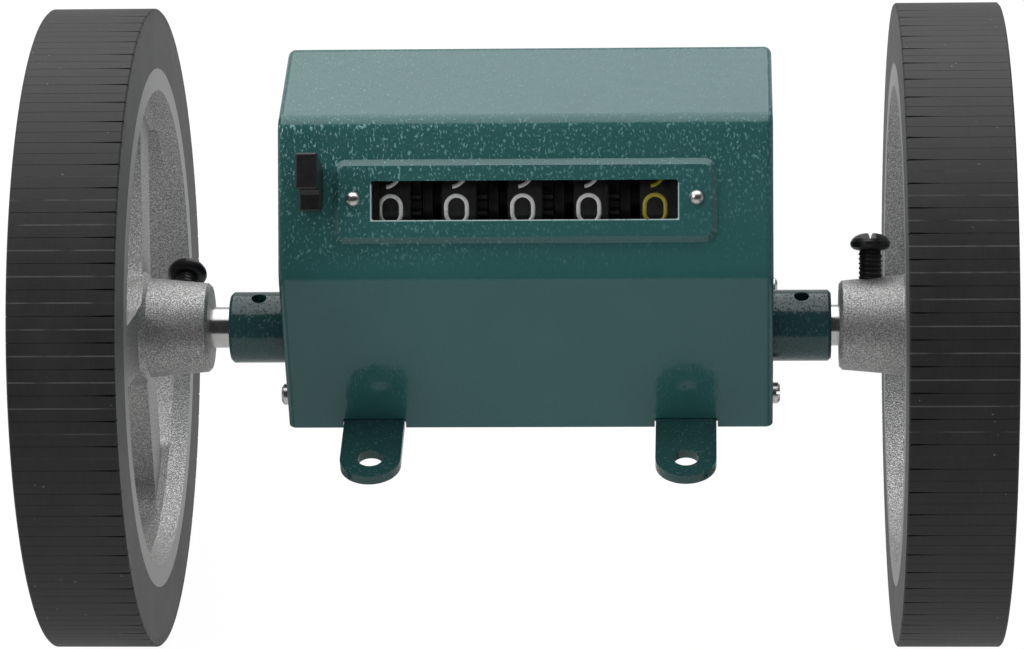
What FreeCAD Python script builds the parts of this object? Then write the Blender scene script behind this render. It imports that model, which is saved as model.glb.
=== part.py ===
import FreeCAD, Part
import math
import os
from FreeCAD import Vector

# Rolling cable length counter: two rubber-tyred wheels on one axle drive a five-digit counter.
# Millimetres. X runs along the axle, +Y points to the rear, +Z points up.
# The origin is the centre of the four foot holes, on the underside of the base.

# Wheels: one turn of a tyre rolls off a third of a metre
wheel_radius = 53.05
left_wheel_gap = 21.6
right_wheel_gap = 20.1
tread_width = 16.9
tyre_thickness = 9.9
tread_bevel = 0.5
tread_slit_count = 74
tread_slit_width = 0.34
tread_slit_depth = 0.9
rim_wall = 3.6
rim_draft = 1.1
spoke_count = 3
spoke_width = 10.0
spoke_recess_at_hub = 2.6
spoke_recess_at_rim = 4.0
spoke_thickness_at_hub = 9.0
spoke_thickness_at_rim = 7.0
spoke_corner_radius = 4.0
first_spoke_angle = 40.0
hub_end_radius = 7.4
hub_base_radius = 8.3
left_hub_reach = 8.6
right_hub_reach = 9.1
hub_outer_setback = 1.0
hub_edge_round = 0.5
spoke_root_round = 1.1

# Axle and its bearings
axle_radius = 3.4
axle_running_clearance = 0.05
axle_behind_front = 11.0
axle_height = 12.7
bearing_radius = 5.9
bearing_reach = 9.6
bearing_flange_radius = 7.5
bearing_flange_thickness = 1.5
oil_hole_radius = 1.25
oil_hole_from_end = 4.85
clip_thickness = 0.6
clip_groove_depth = 0.5
clip_rim = 1.6
clip_play = 0.2

# Set screws in the hubs
set_screw_radius = 2.0
set_screw_head_radius = 3.4
set_screw_head_height = 2.9
set_screw_slot_width = 0.9
set_screw_slot_depth = 1.2
set_screw_from_end = 5.2
left_set_screw_angle = 12.0
left_set_screw_stand = 9.4
left_slot_turn = 25.0
right_set_screw_angle = 55.0
right_set_screw_stand = 12.3
right_slot_turn = 87.0

# Cover of the housing
cover_length = 80.2
cover_depth = 38.6
front_height = 29.7
slope_run = 14.7
slope_rise = 21.2
cover_wall = 1.5
front_fold_radius = 5.0
top_fold_radius = 3.5
rear_fold_radius = 2.5
cover_outer_round = 1.3
cover_inner_round = 0.5
bezel_from_end = 8.95
bezel_low_s = 5.8
bezel_high_s = 19.45
bezel_lift = 1.1
bezel_corner = 2.3
bezel_edge_slope = 1.05
bezel_side_wall = 0.9
window_from_bezel_end = 6.4
window_low_s = 9.6
window_high_s = 15.95
window_corner = 0.4

# Rivets of the counter frame
rivet_from_bezel_end = 3.4
rivet_s = 13.05
rivet_shank_radius = 0.7
rivet_head_radius = 1.25
rivet_head_height = 0.95
rivet_tail_radius = 1.1
rivet_tail_height = 0.6

# Base plate, feet and the side screws
base_thickness = 1.6
base_side_clearance = 0.15
foot_from_end = 14.3
foot_width = 10.0
foot_hole_from_wall = 10.6
foot_hole_radius = 2.1
foot_notch_clearance = 0.2
lug_width = 4.6
lug_height = 6.5
lug_corner = 1.0
side_screw_inset = 4.0
side_screw_height = 4.0
side_screw_radius = 1.0
side_screw_head_radius = 1.75
side_screw_head_height = 1.2
side_screw_slot_width = 0.45
side_screw_slot_depth = 0.6
side_screw_length = 3.6

# Digit drums
drum_count = 5
drum_radius = 9.75
drum_end_room = 2.25
drum_axis_depth = 11.6
drum_shaft_radius = 1.5
drum_hub_radius = 3.0
side_layer = 1.6
layer_gap = 0.15
transfer_disc_radius = 7.0
transfer_notch_radius = 0.9
cam_small_radius = 2.8
cam_large_radius = 5.4

# Transfer pinions
transfer_module = 0.8
transfer_addendum = 0.75
transfer_dedendum = 1.1
drum_gear_teeth = 20
pinion_teeth = 8
pinion_shaft_radius = 1.0
pinion_angle = 15.0
pinion_end_play = 0.1

# Drive train: axle gear, double reduction gear and input gear of the last drum
drive_module = 0.6
axle_gear_teeth = 16
reduction_large_teeth = 32
reduction_small_teeth = 20
input_gear_teeth = 30
gear_backlash = 0.16
gear_width = 2.2
gear_side_play = 0.1
gear_step_gap = 0.4
reduction_stud_radius = 1.5

# Counter frame
frame_inside_bezel = 1.1
frame_sheet = 1.0
frame_wall_gap = 0.2
frame_low_s = 2.2
frame_pinion_gap = 0.8
frame_strip_below = 9.6
frame_strip_above = 10.4
frame_ear_reach = 4.2
frame_ear_half = 4.2
shaft_running_clearance = 0.05
shaft_overhang = 1.3
small_clip_rim = 1.1
small_clip_groove = 0.4
frame_bend_radius = 0.9

# Reset lever, its shaft, fingers and return spring
reset_pivot_s = 23.3
reset_pivot_depth = 4.6
reset_shaft_radius = 1.5
reset_hub_radius = 2.6
reset_finger_thickness = 0.8
reset_finger_length = 5.6
reset_finger_width = 2.2
reset_travel = 18.0
lever_from_end = 4.0
lever_knob_width = 3.45
lever_root_s = 20.3
lever_knob_taper = 2.1
lever_knob_reach = 11.0
lever_knob_height = 5.8
lever_block_reach = 5.1
lever_block_height = 9.3
lever_step = 0.8
lever_lift_gap = 0.5
lever_corner_round = 0.35
lever_stem_width = 2.85
lever_stem_low_s = 12.5
lever_stem_high_s = 16.0
lever_stem_depth = 5.6
lever_slot_clearance = 0.3
lever_slot_high_s = 17.5
spring_wire_radius = 0.25
spring_mean_radius = 2.25
spring_pitch = 0.95
spring_turns = 2.0
spring_plate_gap = 0.35
spring_low_leg = 5.0
spring_high_leg = 3.0

# Sizes worked out from the ones above
tyre_bore_radius = wheel_radius - tyre_thickness
rim_opening_radius = tyre_bore_radius - rim_wall
web_radius = rim_opening_radius - rim_draft
front_y = -cover_depth / 2.0
rear_y = cover_depth / 2.0
half_length = cover_length / 2.0
inner_x = half_length - cover_wall
bearing_end_x = half_length + bearing_reach
wheel_face_x = {-1: half_length + left_wheel_gap, 1: half_length + right_wheel_gap}
foot_half_spacing = half_length - foot_from_end
bezel_half_length = half_length - bezel_from_end
window_half_length = bezel_half_length - window_from_bezel_end
rivet_x = bezel_half_length - rivet_from_bezel_end
lever_x = -half_length + lever_from_end + lever_knob_width / 2.0
cover_height = front_height + slope_rise
slope_length = math.hypot(slope_run, slope_rise)
axle_y = front_y + axle_behind_front
axle_z = axle_height
along_slope = (slope_run / slope_length, slope_rise / slope_length)
out_of_slope = (-slope_rise / slope_length, slope_run / slope_length)
window_mid_s = (window_low_s + window_high_s) / 2.0
foot_hole_y = cover_depth / 2.0 + foot_hole_from_wall
frame_plate_x = bezel_half_length - frame_inside_bezel
frame_inner_x = frame_plate_x - frame_sheet
frame_ear_end_x = rivet_x - frame_ear_reach
frame_ear_low_s = rivet_s - frame_ear_half
frame_ear_high_s = rivet_s + frame_ear_half
drum_pitch = 2.0 * (frame_inner_x - drum_end_room) / drum_count
drum_rim_width = drum_pitch - 3.0 * side_layer - layer_gap
gear_low_x = frame_plate_x + 0.8


def slope_point(s, d):
    """Y and Z of a point s up the slope from its lower fold and d out of its face."""
    y = front_y + s * along_slope[0] + d * out_of_slope[0]
    z = front_height + s * along_slope[1] + d * out_of_slope[1]
    return y, z


def triangle_apex(first, second, first_side, second_side):
    """Rear corner of a triangle in the YZ plane, from two corners and the two other sides."""
    dy = second[0] - first[0]
    dz = second[1] - first[1]
    base = math.hypot(dy, dz)
    along = (first_side ** 2 - second_side ** 2 + base ** 2) / (2.0 * base)
    height = math.sqrt(first_side ** 2 - along ** 2)
    return (first[0] + along * dy / base + height * dz / base,
            first[1] + along * dz / base - height * dy / base)


axle_axis = (axle_y, axle_z)
drum_axis = slope_point(window_mid_s, -drum_axis_depth)
reset_axis = slope_point(reset_pivot_s, -reset_pivot_depth)
axle_to_reduction = drive_module * (axle_gear_teeth + reduction_large_teeth) / 2.0
reduction_to_drum = drive_module * (reduction_small_teeth + input_gear_teeth) / 2.0
reduction_axis = triangle_apex(axle_axis, drum_axis, axle_to_reduction, reduction_to_drum)
pinion_distance = transfer_module * (drum_gear_teeth + pinion_teeth) / 2.0
pinion_axis = (drum_axis[0] + pinion_distance * math.cos(math.radians(pinion_angle)),
               drum_axis[1] + pinion_distance * math.sin(math.radians(pinion_angle)))
pinion_reach = transfer_module * (pinion_teeth / 2.0 + transfer_addendum)
frame_rear_y = pinion_axis[0] + pinion_reach + frame_pinion_gap + frame_sheet
frame_strip_low_z = drum_axis[1] - frame_strip_below
frame_strip_high_z = drum_axis[1] + frame_strip_above


def rod(radius, x_from, x_to, axis):
    """Round bar along X."""
    return Part.makeCylinder(radius, x_to - x_from, Vector(x_from, axis[0], axis[1]), Vector(1, 0, 0))


def sleeve(outer, inner, x_from, x_to, axis):
    """Round bar along X with a bore."""
    return rod(outer, x_from, x_to, axis).cut(rod(inner, x_from - 1, x_to + 1, axis))


def prism(points, x_from, x_to):
    """Outline in the YZ plane, extruded along X."""
    corners = [Vector(x_from, y, z) for y, z in points]
    face = Part.Face(Part.makePolygon(corners + corners[:1]))
    return face.extrude(Vector(x_to - x_from, 0, 0))


def rounded_prism(points, radii, x_from, x_to):
    """Outline in the YZ plane, each corner rounded by its radius, extruded along X."""
    corners = [Vector(x_from, y, z) for y, z in points]
    turns = []
    for i, radius in enumerate(radii):
        back = (corners[i - 1] - corners[i]).normalize()
        ahead = (corners[(i + 1) % len(corners)] - corners[i]).normalize()
        half = back.getAngle(ahead) / 2.0
        reach = radius / math.tan(half)
        middle = (back + ahead).normalize() * (radius / math.sin(half) - radius)
        turns.append((corners[i] + back * reach, corners[i] + middle, corners[i] + ahead * reach))
    edges = []
    for i, (start, middle, end) in enumerate(turns):
        if radii[i] > 0:
            edges.append(Part.Arc(start, middle, end).toShape())
        edges.append(Part.LineSegment(end, turns[(i + 1) % len(turns)][0]).toShape())
    return Part.Face(Part.Wire(edges)).extrude(Vector(x_to - x_from, 0, 0))


def turned(profile, axis):
    """Outline of (x, radius) pairs, turned about an axis along X."""
    corners = [Vector(x, axis[0] + radius, axis[1]) for x, radius in profile]
    face = Part.Face(Part.makePolygon(corners + corners[:1]))
    return face.revolve(Vector(0, axis[0], axis[1]), Vector(1, 0, 0), 360)


def block(x_from, x_to, y_from, y_to, z_from, z_to):
    return Part.makeBox(x_to - x_from, y_to - y_from, z_to - z_from, Vector(x_from, y_from, z_from))


def edges_along(shape, direction):
    """Straight edges that run parallel to a direction."""
    found = []
    for edge in shape.Edges:
        if isinstance(edge.Curve, (Part.Line, Part.LineSegment)):
            run = edge.Vertexes[-1].Point - edge.Vertexes[0].Point
            if run.Length > 1e-6 and run.cross(direction).Length < 1e-6 * run.Length:
                found.append(edge)
    return found


def slope_block(x_from, x_to, s_from, s_to, d_from, d_to, corner):
    """Rounded block that lies along the slope."""
    shape = block(x_from, x_to, s_from, s_to, d_from, d_to)
    if corner > 0:
        shape = shape.makeFillet(corner, edges_along(shape, Vector(0, 0, 1)))
    shape.Placement = slope_frame()
    return shape


def slope_frame():
    up = Vector(0, along_slope[0], along_slope[1])
    out = Vector(0, out_of_slope[0], out_of_slope[1])
    turn = FreeCAD.Rotation(Vector(1, 0, 0), up, out, "ZXY")
    return FreeCAD.Placement(Vector(0, front_y, front_height), turn)


def housing_profile(inset):
    """Side outline of the housing, moved in by a wall."""
    half_angle = math.atan2(slope_rise, slope_run) / 2.0
    steep = math.pi / 2.0 - 2.0 * half_angle
    fold_drop = inset * math.tan(steep / 2.0)
    top_shift = inset * math.tan(half_angle)
    return [(front_y + inset, -10.0 if inset > 0 else 0.0),
            (front_y + inset, front_height - fold_drop),
            (front_y + slope_run + top_shift, cover_height - inset),
            (rear_y - inset, cover_height - inset),
            (rear_y - inset, -10.0 if inset > 0 else 0.0)]


def rounded_housing(inset, side_round):
    """Housing block whose folds are wide arcs and whose side edges are tighter ones."""
    end_x = half_length - inset
    radii = [0.0, front_fold_radius - inset, top_fold_radius - inset, rear_fold_radius - inset, 0.0]
    shape = rounded_prism(housing_profile(inset), radii, -end_x, end_x)
    floor = min(vertex.Z for vertex in shape.Vertexes)
    side_edges = [e for e in shape.Edges if max(v.Z for v in e.Vertexes) > floor + 1e-3
                  and all(abs(abs(v.X) - end_x) < 1e-6 for v in e.Vertexes)
                  and abs(e.Vertexes[0].X - e.Vertexes[-1].X) < 1e-6]
    return shape.makeFillet(side_round, side_edges)


def make_cover():
    """Thin shell, open below, with the raised window frame pressed out of its slope."""
    pad = slope_block(-bezel_half_length, bezel_half_length, bezel_low_s, bezel_high_s,
                      -cover_wall / 2.0, bezel_lift, bezel_corner)
    out = Vector(0, out_of_slope[0], out_of_slope[1])
    top_level = Vector(0, *slope_point(0, bezel_lift)).dot(out)
    top_edges = [e for e in pad.Edges if all(abs(v.Point.dot(out) - top_level) < 1e-6 for v in e.Vertexes)]
    pad = pad.makeChamfer(bezel_edge_slope, top_edges)
    pocket = slope_block(-bezel_half_length + bezel_side_wall, bezel_half_length - bezel_side_wall,
                         bezel_low_s + bezel_side_wall, bezel_high_s - bezel_side_wall,
                         -cover_wall - 1.0, bezel_lift - cover_wall, bezel_corner - bezel_side_wall)
    shell = rounded_housing(0.0, cover_outer_round).fuse(pad)
    shell = shell.cut(rounded_housing(cover_wall, cover_inner_round).fuse(pocket))
    cuts = [slope_block(-window_half_length, window_half_length, window_low_s, window_high_s,
                        -4.0, 4.0, window_corner),
            slope_block(lever_x - lever_stem_width / 2.0 - lever_slot_clearance,
                        lever_x + lever_stem_width / 2.0 + lever_slot_clearance,
                        lever_stem_low_s - lever_slot_clearance, lever_slot_high_s, -4.0, 4.0, window_corner)]
    for side in (-1, 1):
        cuts.append(rivet_shape(side, rivet_shank_radius))
        cuts.append(rod(bearing_radius, *sorted((side * (inner_x - 1), side * (half_length + 1))), axle_axis))
        for end in (-1, 1):
            cuts.append(foot_notch(side, end))
            cuts.append(rod(side_screw_radius, *sorted((side * (inner_x - 1), side * (half_length + 1))),
                            side_screw_axis(end)))
    return shell.cut(Part.makeCompound(cuts)).removeSplitter()


def rivet_shape(side, radius):
    """Straight hole or shank of a frame rivet, along the slope's normal."""
    y, z = slope_point(rivet_s, bezel_lift - cover_wall - frame_sheet)
    length = cover_wall + frame_sheet
    return Part.makeCylinder(radius, length, Vector(side * rivet_x, y, z),
                             Vector(0, out_of_slope[0], out_of_slope[1]))


def make_window_rivets():
    rivets = []
    out = Vector(0, out_of_slope[0], out_of_slope[1])
    for side in (-1, 1):
        head_y, head_z = slope_point(rivet_s, bezel_lift)
        ball = (rivet_head_radius ** 2 + rivet_head_height ** 2) / (2.0 * rivet_head_height)
        centre = Vector(side * rivet_x, head_y, head_z) - out * (ball - rivet_head_height)
        dome = Part.makeSphere(ball, centre)
        keep = Part.makeCylinder(rivet_head_radius + 1, rivet_head_height + 1,
                                 Vector(side * rivet_x, head_y, head_z), out)
        tail_y, tail_z = slope_point(rivet_s, bezel_lift - cover_wall - frame_sheet - rivet_tail_height)
        tail = Part.makeCone(rivet_tail_radius * 0.8, rivet_tail_radius, rivet_tail_height,
                             Vector(side * rivet_x, tail_y, tail_z), out)
        rivets.append(dome.common(keep).fuse([rivet_shape(side, rivet_shank_radius), tail]).removeSplitter())
    return Part.makeCompound(rivets)


def foot_notch(side, end):
    x = side * foot_half_spacing
    half = foot_width / 2.0 + foot_notch_clearance
    wall_y = end * (cover_depth / 2.0 - cover_wall / 2.0)
    return block(x - half, x + half, wall_y - cover_wall, wall_y + cover_wall,
                 -1.0, base_thickness + foot_notch_clearance)


def side_screw_axis(end):
    return end * (cover_depth / 2.0 - side_screw_inset), side_screw_height


def make_base_plate():
    """Flat plate inside the cover's foot, with four tabs and four upturned lugs."""
    half_depth = cover_depth / 2.0 - cover_wall - base_side_clearance
    plate = block(-inner_x, inner_x, -half_depth, half_depth, 0.0, base_thickness)
    lugs = []
    tabs = []
    holes = []
    for side in (-1, 1):
        for end in (-1, 1):
            x = side * foot_half_spacing
            hole_y = end * foot_hole_y
            tabs.append(block(x - foot_width / 2.0, x + foot_width / 2.0,
                              *sorted((end * (half_depth - 1.0), hole_y)), 0.0, base_thickness))
            tabs.append(Part.makeCylinder(foot_width / 2.0, base_thickness, Vector(x, hole_y, 0)))
            holes.append(Part.makeCylinder(foot_hole_radius, base_thickness + 2, Vector(x, hole_y, -1)))
            y, z = side_screw_axis(end)
            lug = block(*sorted((side * (inner_x - base_thickness), side * inner_x)),
                        y - lug_width / 2.0, y + lug_width / 2.0, 0.0, lug_height)
            top = [e for e in edges_along(lug, Vector(1, 0, 0)) if e.Vertexes[0].Z > lug_height - 0.1]
            lugs.append(lug.makeFillet(lug_corner, top))
            holes.append(rod(side_screw_radius, *sorted((side * (inner_x - 5), side * (inner_x + 1))),
                             (y, z)))
    room = block(-inner_x, inner_x, -half_depth, half_depth, 0.0, lug_height)
    room = room.makeFillet(cover_inner_round + base_side_clearance, edges_along(room, Vector(0, 0, 1)))
    body = plate.fuse(lugs).common(room).fuse(tabs)
    return body.cut(Part.makeCompound(holes)).removeSplitter()


def make_cover_screws():
    """Four slotted pan-head screws through the cover's sides into the lugs."""
    screws = []
    for side in (-1, 1):
        for end in (-1, 1):
            axis = side_screw_axis(end)
            tip = half_length - side_screw_length
            face = half_length + side_screw_head_height
            profile = [(tip, 0.0), (tip, side_screw_radius), (half_length, side_screw_radius),
                       (half_length, side_screw_head_radius), (face - 0.4, side_screw_head_radius),
                       (face, side_screw_head_radius - 0.5), (face, 0.0)]
            screw = turned([(side * x, r) for x, r in profile], axis)
            slot = block(*sorted((side * (face - side_screw_slot_depth), side * (face + 1))),
                         axis[0] - 3, axis[0] + 3,
                         axis[1] - side_screw_slot_width / 2.0, axis[1] + side_screw_slot_width / 2.0)
            slot.rotate(Vector(0, axis[0], axis[1]), Vector(1, 0, 0), 35.0 * side * end)
            screws.append(screw.cut(slot))
    return Part.makeCompound(screws)


def make_bearing(side):
    """Painted bearing boss with an inner flange and an oil hole on top."""
    bore = axle_radius + axle_running_clearance
    flange_x = inner_x - bearing_flange_thickness
    profile = [(flange_x, bore), (flange_x, bearing_flange_radius), (inner_x, bearing_flange_radius),
               (inner_x, bearing_radius), (bearing_end_x - 0.5, bearing_radius),
               (bearing_end_x, bearing_radius - 0.5), (bearing_end_x, bore)]
    boss = turned([(side * x, r) for x, r in profile], axle_axis)
    oil_x = side * (bearing_end_x - oil_hole_from_end)
    return boss.cut(Part.makeCylinder(oil_hole_radius, 2.0 * bearing_radius, Vector(oil_x, axle_y, axle_z)))


def make_axle():
    clip_x = inner_x - bearing_flange_thickness - clip_play - clip_thickness
    groove = axle_radius - clip_groove_depth
    halves = []
    for side in (-1, 1):
        end_x = wheel_face_x[side] + tread_width - hub_outer_setback
        half = [(clip_x, axle_radius), (clip_x, groove), (clip_x + clip_thickness, groove),
                (clip_x + clip_thickness, axle_radius), (end_x - 0.6, axle_radius),
                (end_x, axle_radius - 0.6), (end_x, 0.0)]
        halves.append([(side * x, r) for x, r in half])
    return turned(halves[0][::-1] + halves[1], axle_axis)


def retaining_ring(shaft_radius, groove_depth, rim, x_from, axis, opening):
    """Flat ring snapped into a groove, open to one side."""
    inner = shaft_radius - groove_depth
    ring = sleeve(shaft_radius + rim, inner, x_from, x_from + clip_thickness, axis)
    gap = block(x_from - 1, x_from + clip_thickness + 1, -inner * 0.8, inner * 0.8, 0, shaft_radius + rim + 1)
    gap.translate(Vector(0, axis[0], axis[1]))
    gap.rotate(Vector(0, axis[0], axis[1]), Vector(1, 0, 0), opening)
    return ring.cut(gap)


def make_axle_clips():
    clip_x = inner_x - bearing_flange_thickness - clip_play - clip_thickness
    rings = []
    for low_x, opening in ((clip_x, 30.0), (-clip_x - clip_thickness, 200.0)):
        rings.append(retaining_ring(axle_radius, clip_groove_depth, clip_rim, low_x, axle_axis, opening))
    return Part.makeCompound(rings)


def spoke_window(index, x_from, x_to):
    """One opening between two spokes, its four corners rounded."""
    start = math.radians(first_spoke_angle + index * 360.0 / spoke_count)
    stop = start + 2.0 * math.pi / spoke_count
    half = spoke_width / 2.0

    def corner(radius, spoke_angle, turn):
        angle = spoke_angle + turn * math.asin(half / radius)
        return Vector(x_from, radius * math.cos(angle), radius * math.sin(angle))

    def middle(radius):
        angle = (start + stop) / 2.0
        return Vector(x_from, radius * math.cos(angle), radius * math.sin(angle))

    outer = web_radius
    inner = hub_base_radius + 0.6
    edges = [Part.Arc(corner(outer, start, 1), middle(outer), corner(outer, stop, -1)).toShape(),
             Part.LineSegment(corner(outer, stop, -1), corner(inner, stop, -1)).toShape(),
             Part.Arc(corner(inner, stop, -1), middle(inner), corner(inner, start, 1)).toShape(),
             Part.LineSegment(corner(inner, start, 1), corner(outer, start, 1)).toShape()]
    window = Part.Face(Part.Wire(edges)).extrude(Vector(x_to - x_from, 0, 0))
    window = window.makeFillet(spoke_corner_radius, edges_along(window, Vector(1, 0, 0)))
    window.translate(Vector(0, axle_y, axle_z))
    return window


def make_wheel(side, hub_reach, screw_angle):
    """Cast wheel: drafted rim, three tapered spokes and a hub that reaches inwards."""
    face = wheel_face_x[side]
    back = face + tread_width
    web_in_hub = face + spoke_recess_at_hub
    web_in_rim = face + spoke_recess_at_rim
    web_out_hub = web_in_hub + spoke_thickness_at_hub
    web_out_rim = web_in_rim + spoke_thickness_at_rim
    end = face - hub_reach
    outer_end = back - hub_outer_setback
    profile = [(end, axle_radius), (end, hub_end_radius - hub_edge_round),
               (end + hub_edge_round, hub_end_radius), (web_in_hub - spoke_root_round, hub_base_radius),
               (web_in_hub, hub_base_radius + spoke_root_round), (web_in_rim, web_radius - spoke_root_round),
               (web_in_rim - spoke_root_round, web_radius), (face, rim_opening_radius),
               (face, tyre_bore_radius), (back, tyre_bore_radius), (back, rim_opening_radius),
               (web_out_rim + spoke_root_round, web_radius), (web_out_rim, web_radius - spoke_root_round),
               (web_out_hub, hub_base_radius + spoke_root_round),
               (web_out_hub + spoke_root_round, hub_base_radius),
               (outer_end - hub_edge_round, hub_end_radius), (outer_end, hub_end_radius - hub_edge_round),
               (outer_end, axle_radius)]
    casting = turned([(side * x, r) for x, r in profile], axle_axis)
    windows = [spoke_window(i, *sorted((side * (face - 1), side * (back + 1)))) for i in range(spoke_count)]
    screw_x = side * (end + set_screw_from_end)
    screw_hole = Part.makeCylinder(set_screw_radius, 2.0 * hub_base_radius, Vector(screw_x, axle_y, axle_z))
    screw_hole.rotate(Vector(0, axle_y, axle_z), Vector(1, 0, 0), screw_angle - 90.0)
    return casting.cut(Part.makeCompound(windows + [screw_hole]))


def make_tyre(side):
    """Rubber ring whose tread is cut by fine slits across its full width."""
    pitch = 2.0 * math.pi / tread_slit_count
    half = tread_slit_width / 2.0 / wheel_radius
    face = wheel_face_x[side]
    x_from = side * face

    def at(radius, angle):
        return Vector(x_from, axle_y + radius * math.cos(angle), axle_z + radius * math.sin(angle))

    edges = []
    for i in range(tread_slit_count):
        slit = i * pitch
        bottom = at(wheel_radius - tread_slit_depth, slit)
        edges.append(Part.LineSegment(at(wheel_radius, slit - half), bottom).toShape())
        edges.append(Part.LineSegment(bottom, at(wheel_radius, slit + half)).toShape())
        edges.append(Part.Arc(at(wheel_radius, slit + half), at(wheel_radius, slit + pitch / 2.0),
                              at(wheel_radius, slit + pitch - half)).toShape())
    slitted = Part.Face(Part.Wire(edges)).extrude(Vector(side * tread_width, 0, 0))
    back = face + tread_width
    profile = [(face, tyre_bore_radius), (face, wheel_radius - tread_bevel),
               (face + tread_bevel, wheel_radius + 0.01), (back - tread_bevel, wheel_radius + 0.01),
               (back, wheel_radius - tread_bevel), (back, tyre_bore_radius)]
    return slitted.common(turned([(side * x, r) for x, r in profile], axle_axis))


def make_set_screw(side, hub_reach, angle, stand, slot_turn):
    """Slotted pan-head screw; stand is the height of the head's seat above the axle's centre."""
    x = side * (wheel_face_x[side] - hub_reach + set_screw_from_end)
    top = stand + set_screw_head_height
    corners = [(0.0, axle_radius), (set_screw_radius, axle_radius), (set_screw_radius, stand),
               (set_screw_head_radius, stand), (set_screw_head_radius, stand + 1.2),
               (set_screw_head_radius * 0.8, top - 0.35), (set_screw_head_radius * 0.45, top), (0.0, top)]
    points = [Vector(x + r, axle_y, axle_z + h) for r, h in corners]
    screw = Part.Face(Part.makePolygon(points + points[:1])).revolve(
        Vector(x, axle_y, axle_z), Vector(0, 0, 1), 360)
    slot = block(x - set_screw_head_radius - 1, x + set_screw_head_radius + 1,
                 axle_y - set_screw_slot_width / 2.0, axle_y + set_screw_slot_width / 2.0,
                 axle_z + top - set_screw_slot_depth, axle_z + top + 1)
    slot.rotate(Vector(x, axle_y, axle_z), Vector(0, 0, 1), slot_turn)
    screw = screw.cut(slot)
    screw.rotate(Vector(0, axle_y, axle_z), Vector(1, 0, 0), angle - 90.0)
    return screw


def flank_half_angle(module, teeth, radius):
    """Half the angle of an involute tooth at a radius, with its share of the backlash."""
    pitch_radius = module * teeth / 2.0
    base_radius = pitch_radius * math.cos(math.radians(20.0))

    def involute(angle):
        return math.tan(angle) - angle

    at_pitch = math.pi / (2.0 * teeth) - gear_backlash / (2.0 * pitch_radius)
    slant = math.acos(base_radius / max(radius, base_radius))
    return at_pitch + involute(math.radians(20.0)) - involute(slant)


def gear(module, teeth, tooth_angle, x_from, x_to, axis, addendum=1.0, dedendum=1.2, kept_teeth=None):
    """Spur gear with one tooth centred on tooth_angle (degrees from +Y towards +Z)."""
    pitch_radius = module * teeth / 2.0
    tip = pitch_radius + addendum * module
    root = pitch_radius - dedendum * module
    points = []
    for i in range(teeth):
        centre = math.radians(tooth_angle) + 2.0 * math.pi * i / teeth
        levels = [root, tip] if kept_teeth is None or i % kept_teeth == 0 else [root]
        left = [(r, centre - flank_half_angle(module, teeth, r)) for r in levels]
        right = [(r, centre + flank_half_angle(module, teeth, r)) for r in reversed(levels)]
        for r, a in left + right:
            points.append((axis[0] + r * math.cos(a), axis[1] + r * math.sin(a)))
    return prism(points, x_from, x_to)


def direction(first, second):
    """Angle in degrees, from +Y towards +Z, of the line between two axes."""
    return math.degrees(math.atan2(second[1] - first[1], second[0] - first[0]))


def make_axle_gear():
    x_from = gear_low_x + gear_width + gear_step_gap - gear_side_play
    x_to = x_from + gear_width + 2.0 * gear_side_play
    body = gear(drive_module, axle_gear_teeth, direction(axle_axis, reduction_axis), x_from, x_to, axle_axis)
    return body.cut(rod(axle_radius, x_from - 1, x_to + 1, axle_axis))


def make_reduction_gear():
    """Large gear driven by the axle, small gear driving the last drum, in one piece."""
    step_x = gear_low_x + gear_width + gear_step_gap
    gap_angle = 180.0 / reduction_large_teeth
    large = gear(drive_module, reduction_large_teeth, direction(reduction_axis, axle_axis) + gap_angle,
                 step_x, step_x + gear_width, reduction_axis)
    small = gear(drive_module, reduction_small_teeth, direction(reduction_axis, drum_axis),
                 gear_low_x - gear_side_play, step_x, reduction_axis)
    bore = rod(reduction_stud_radius + shaft_running_clearance, gear_low_x - 1,
               step_x + gear_width + 1, reduction_axis)
    return large.fuse(small).cut(bore)


def make_input_gear():
    gap_angle = 180.0 / input_gear_teeth
    body = gear(drive_module, input_gear_teeth, direction(drum_axis, reduction_axis) + gap_angle,
                gear_low_x, gear_low_x + gear_width, drum_axis)
    return body.cut(rod(drum_shaft_radius, gear_low_x - 1, gear_low_x + gear_width + 1, drum_axis))


def grooved_shaft(radius, x_from, x_to, axis, grooves):
    """Round shaft along X with ring grooves; each groove is given by its low X."""
    profile = [(x_from, 0.0), (x_from, radius)]
    for low in sorted(grooves):
        high = low + clip_thickness
        floor = radius - small_clip_groove
        profile += [(low, radius), (low, floor), (high, floor), (high, radius)]
    profile += [(x_to, radius), (x_to, 0.0)]
    return turned(profile, axis)


def small_ring(radius, x_from, axis, opening):
    return retaining_ring(radius, small_clip_groove, small_clip_rim, x_from, axis, opening)


stud_clip_x = gear_low_x + 2.0 * gear_width + gear_step_gap + clip_play
left_clip_x = -frame_plate_x - clip_play - clip_thickness
right_clip_x = frame_plate_x + clip_play


def make_reduction_stud():
    """Stud riveted into the frame's right plate, with a groove for its retaining ring."""
    shaft = grooved_shaft(reduction_stud_radius, frame_inner_x, stud_clip_x + clip_thickness + 0.5,
                          reduction_axis, [stud_clip_x])
    head = turned([(frame_inner_x - 0.4, 0.0), (frame_inner_x - 0.4, reduction_stud_radius + 0.5),
                   (frame_inner_x, reduction_stud_radius + 0.7), (frame_inner_x, 0.0)], reduction_axis)
    shoulder = rod(reduction_stud_radius + 0.9, frame_plate_x, gear_low_x - 2.0 * gear_side_play,
                   reduction_axis)
    return shaft.fuse([head, shoulder]).removeSplitter()


def make_stud_clip():
    return small_ring(reduction_stud_radius, stud_clip_x, reduction_axis, 0.0)


def make_drum_shaft_clip():
    return small_ring(drum_shaft_radius, left_clip_x, drum_axis, 120.0)


def make_reset_shaft_clip():
    return small_ring(reset_shaft_radius, right_clip_x, reset_axis, 240.0)


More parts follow.
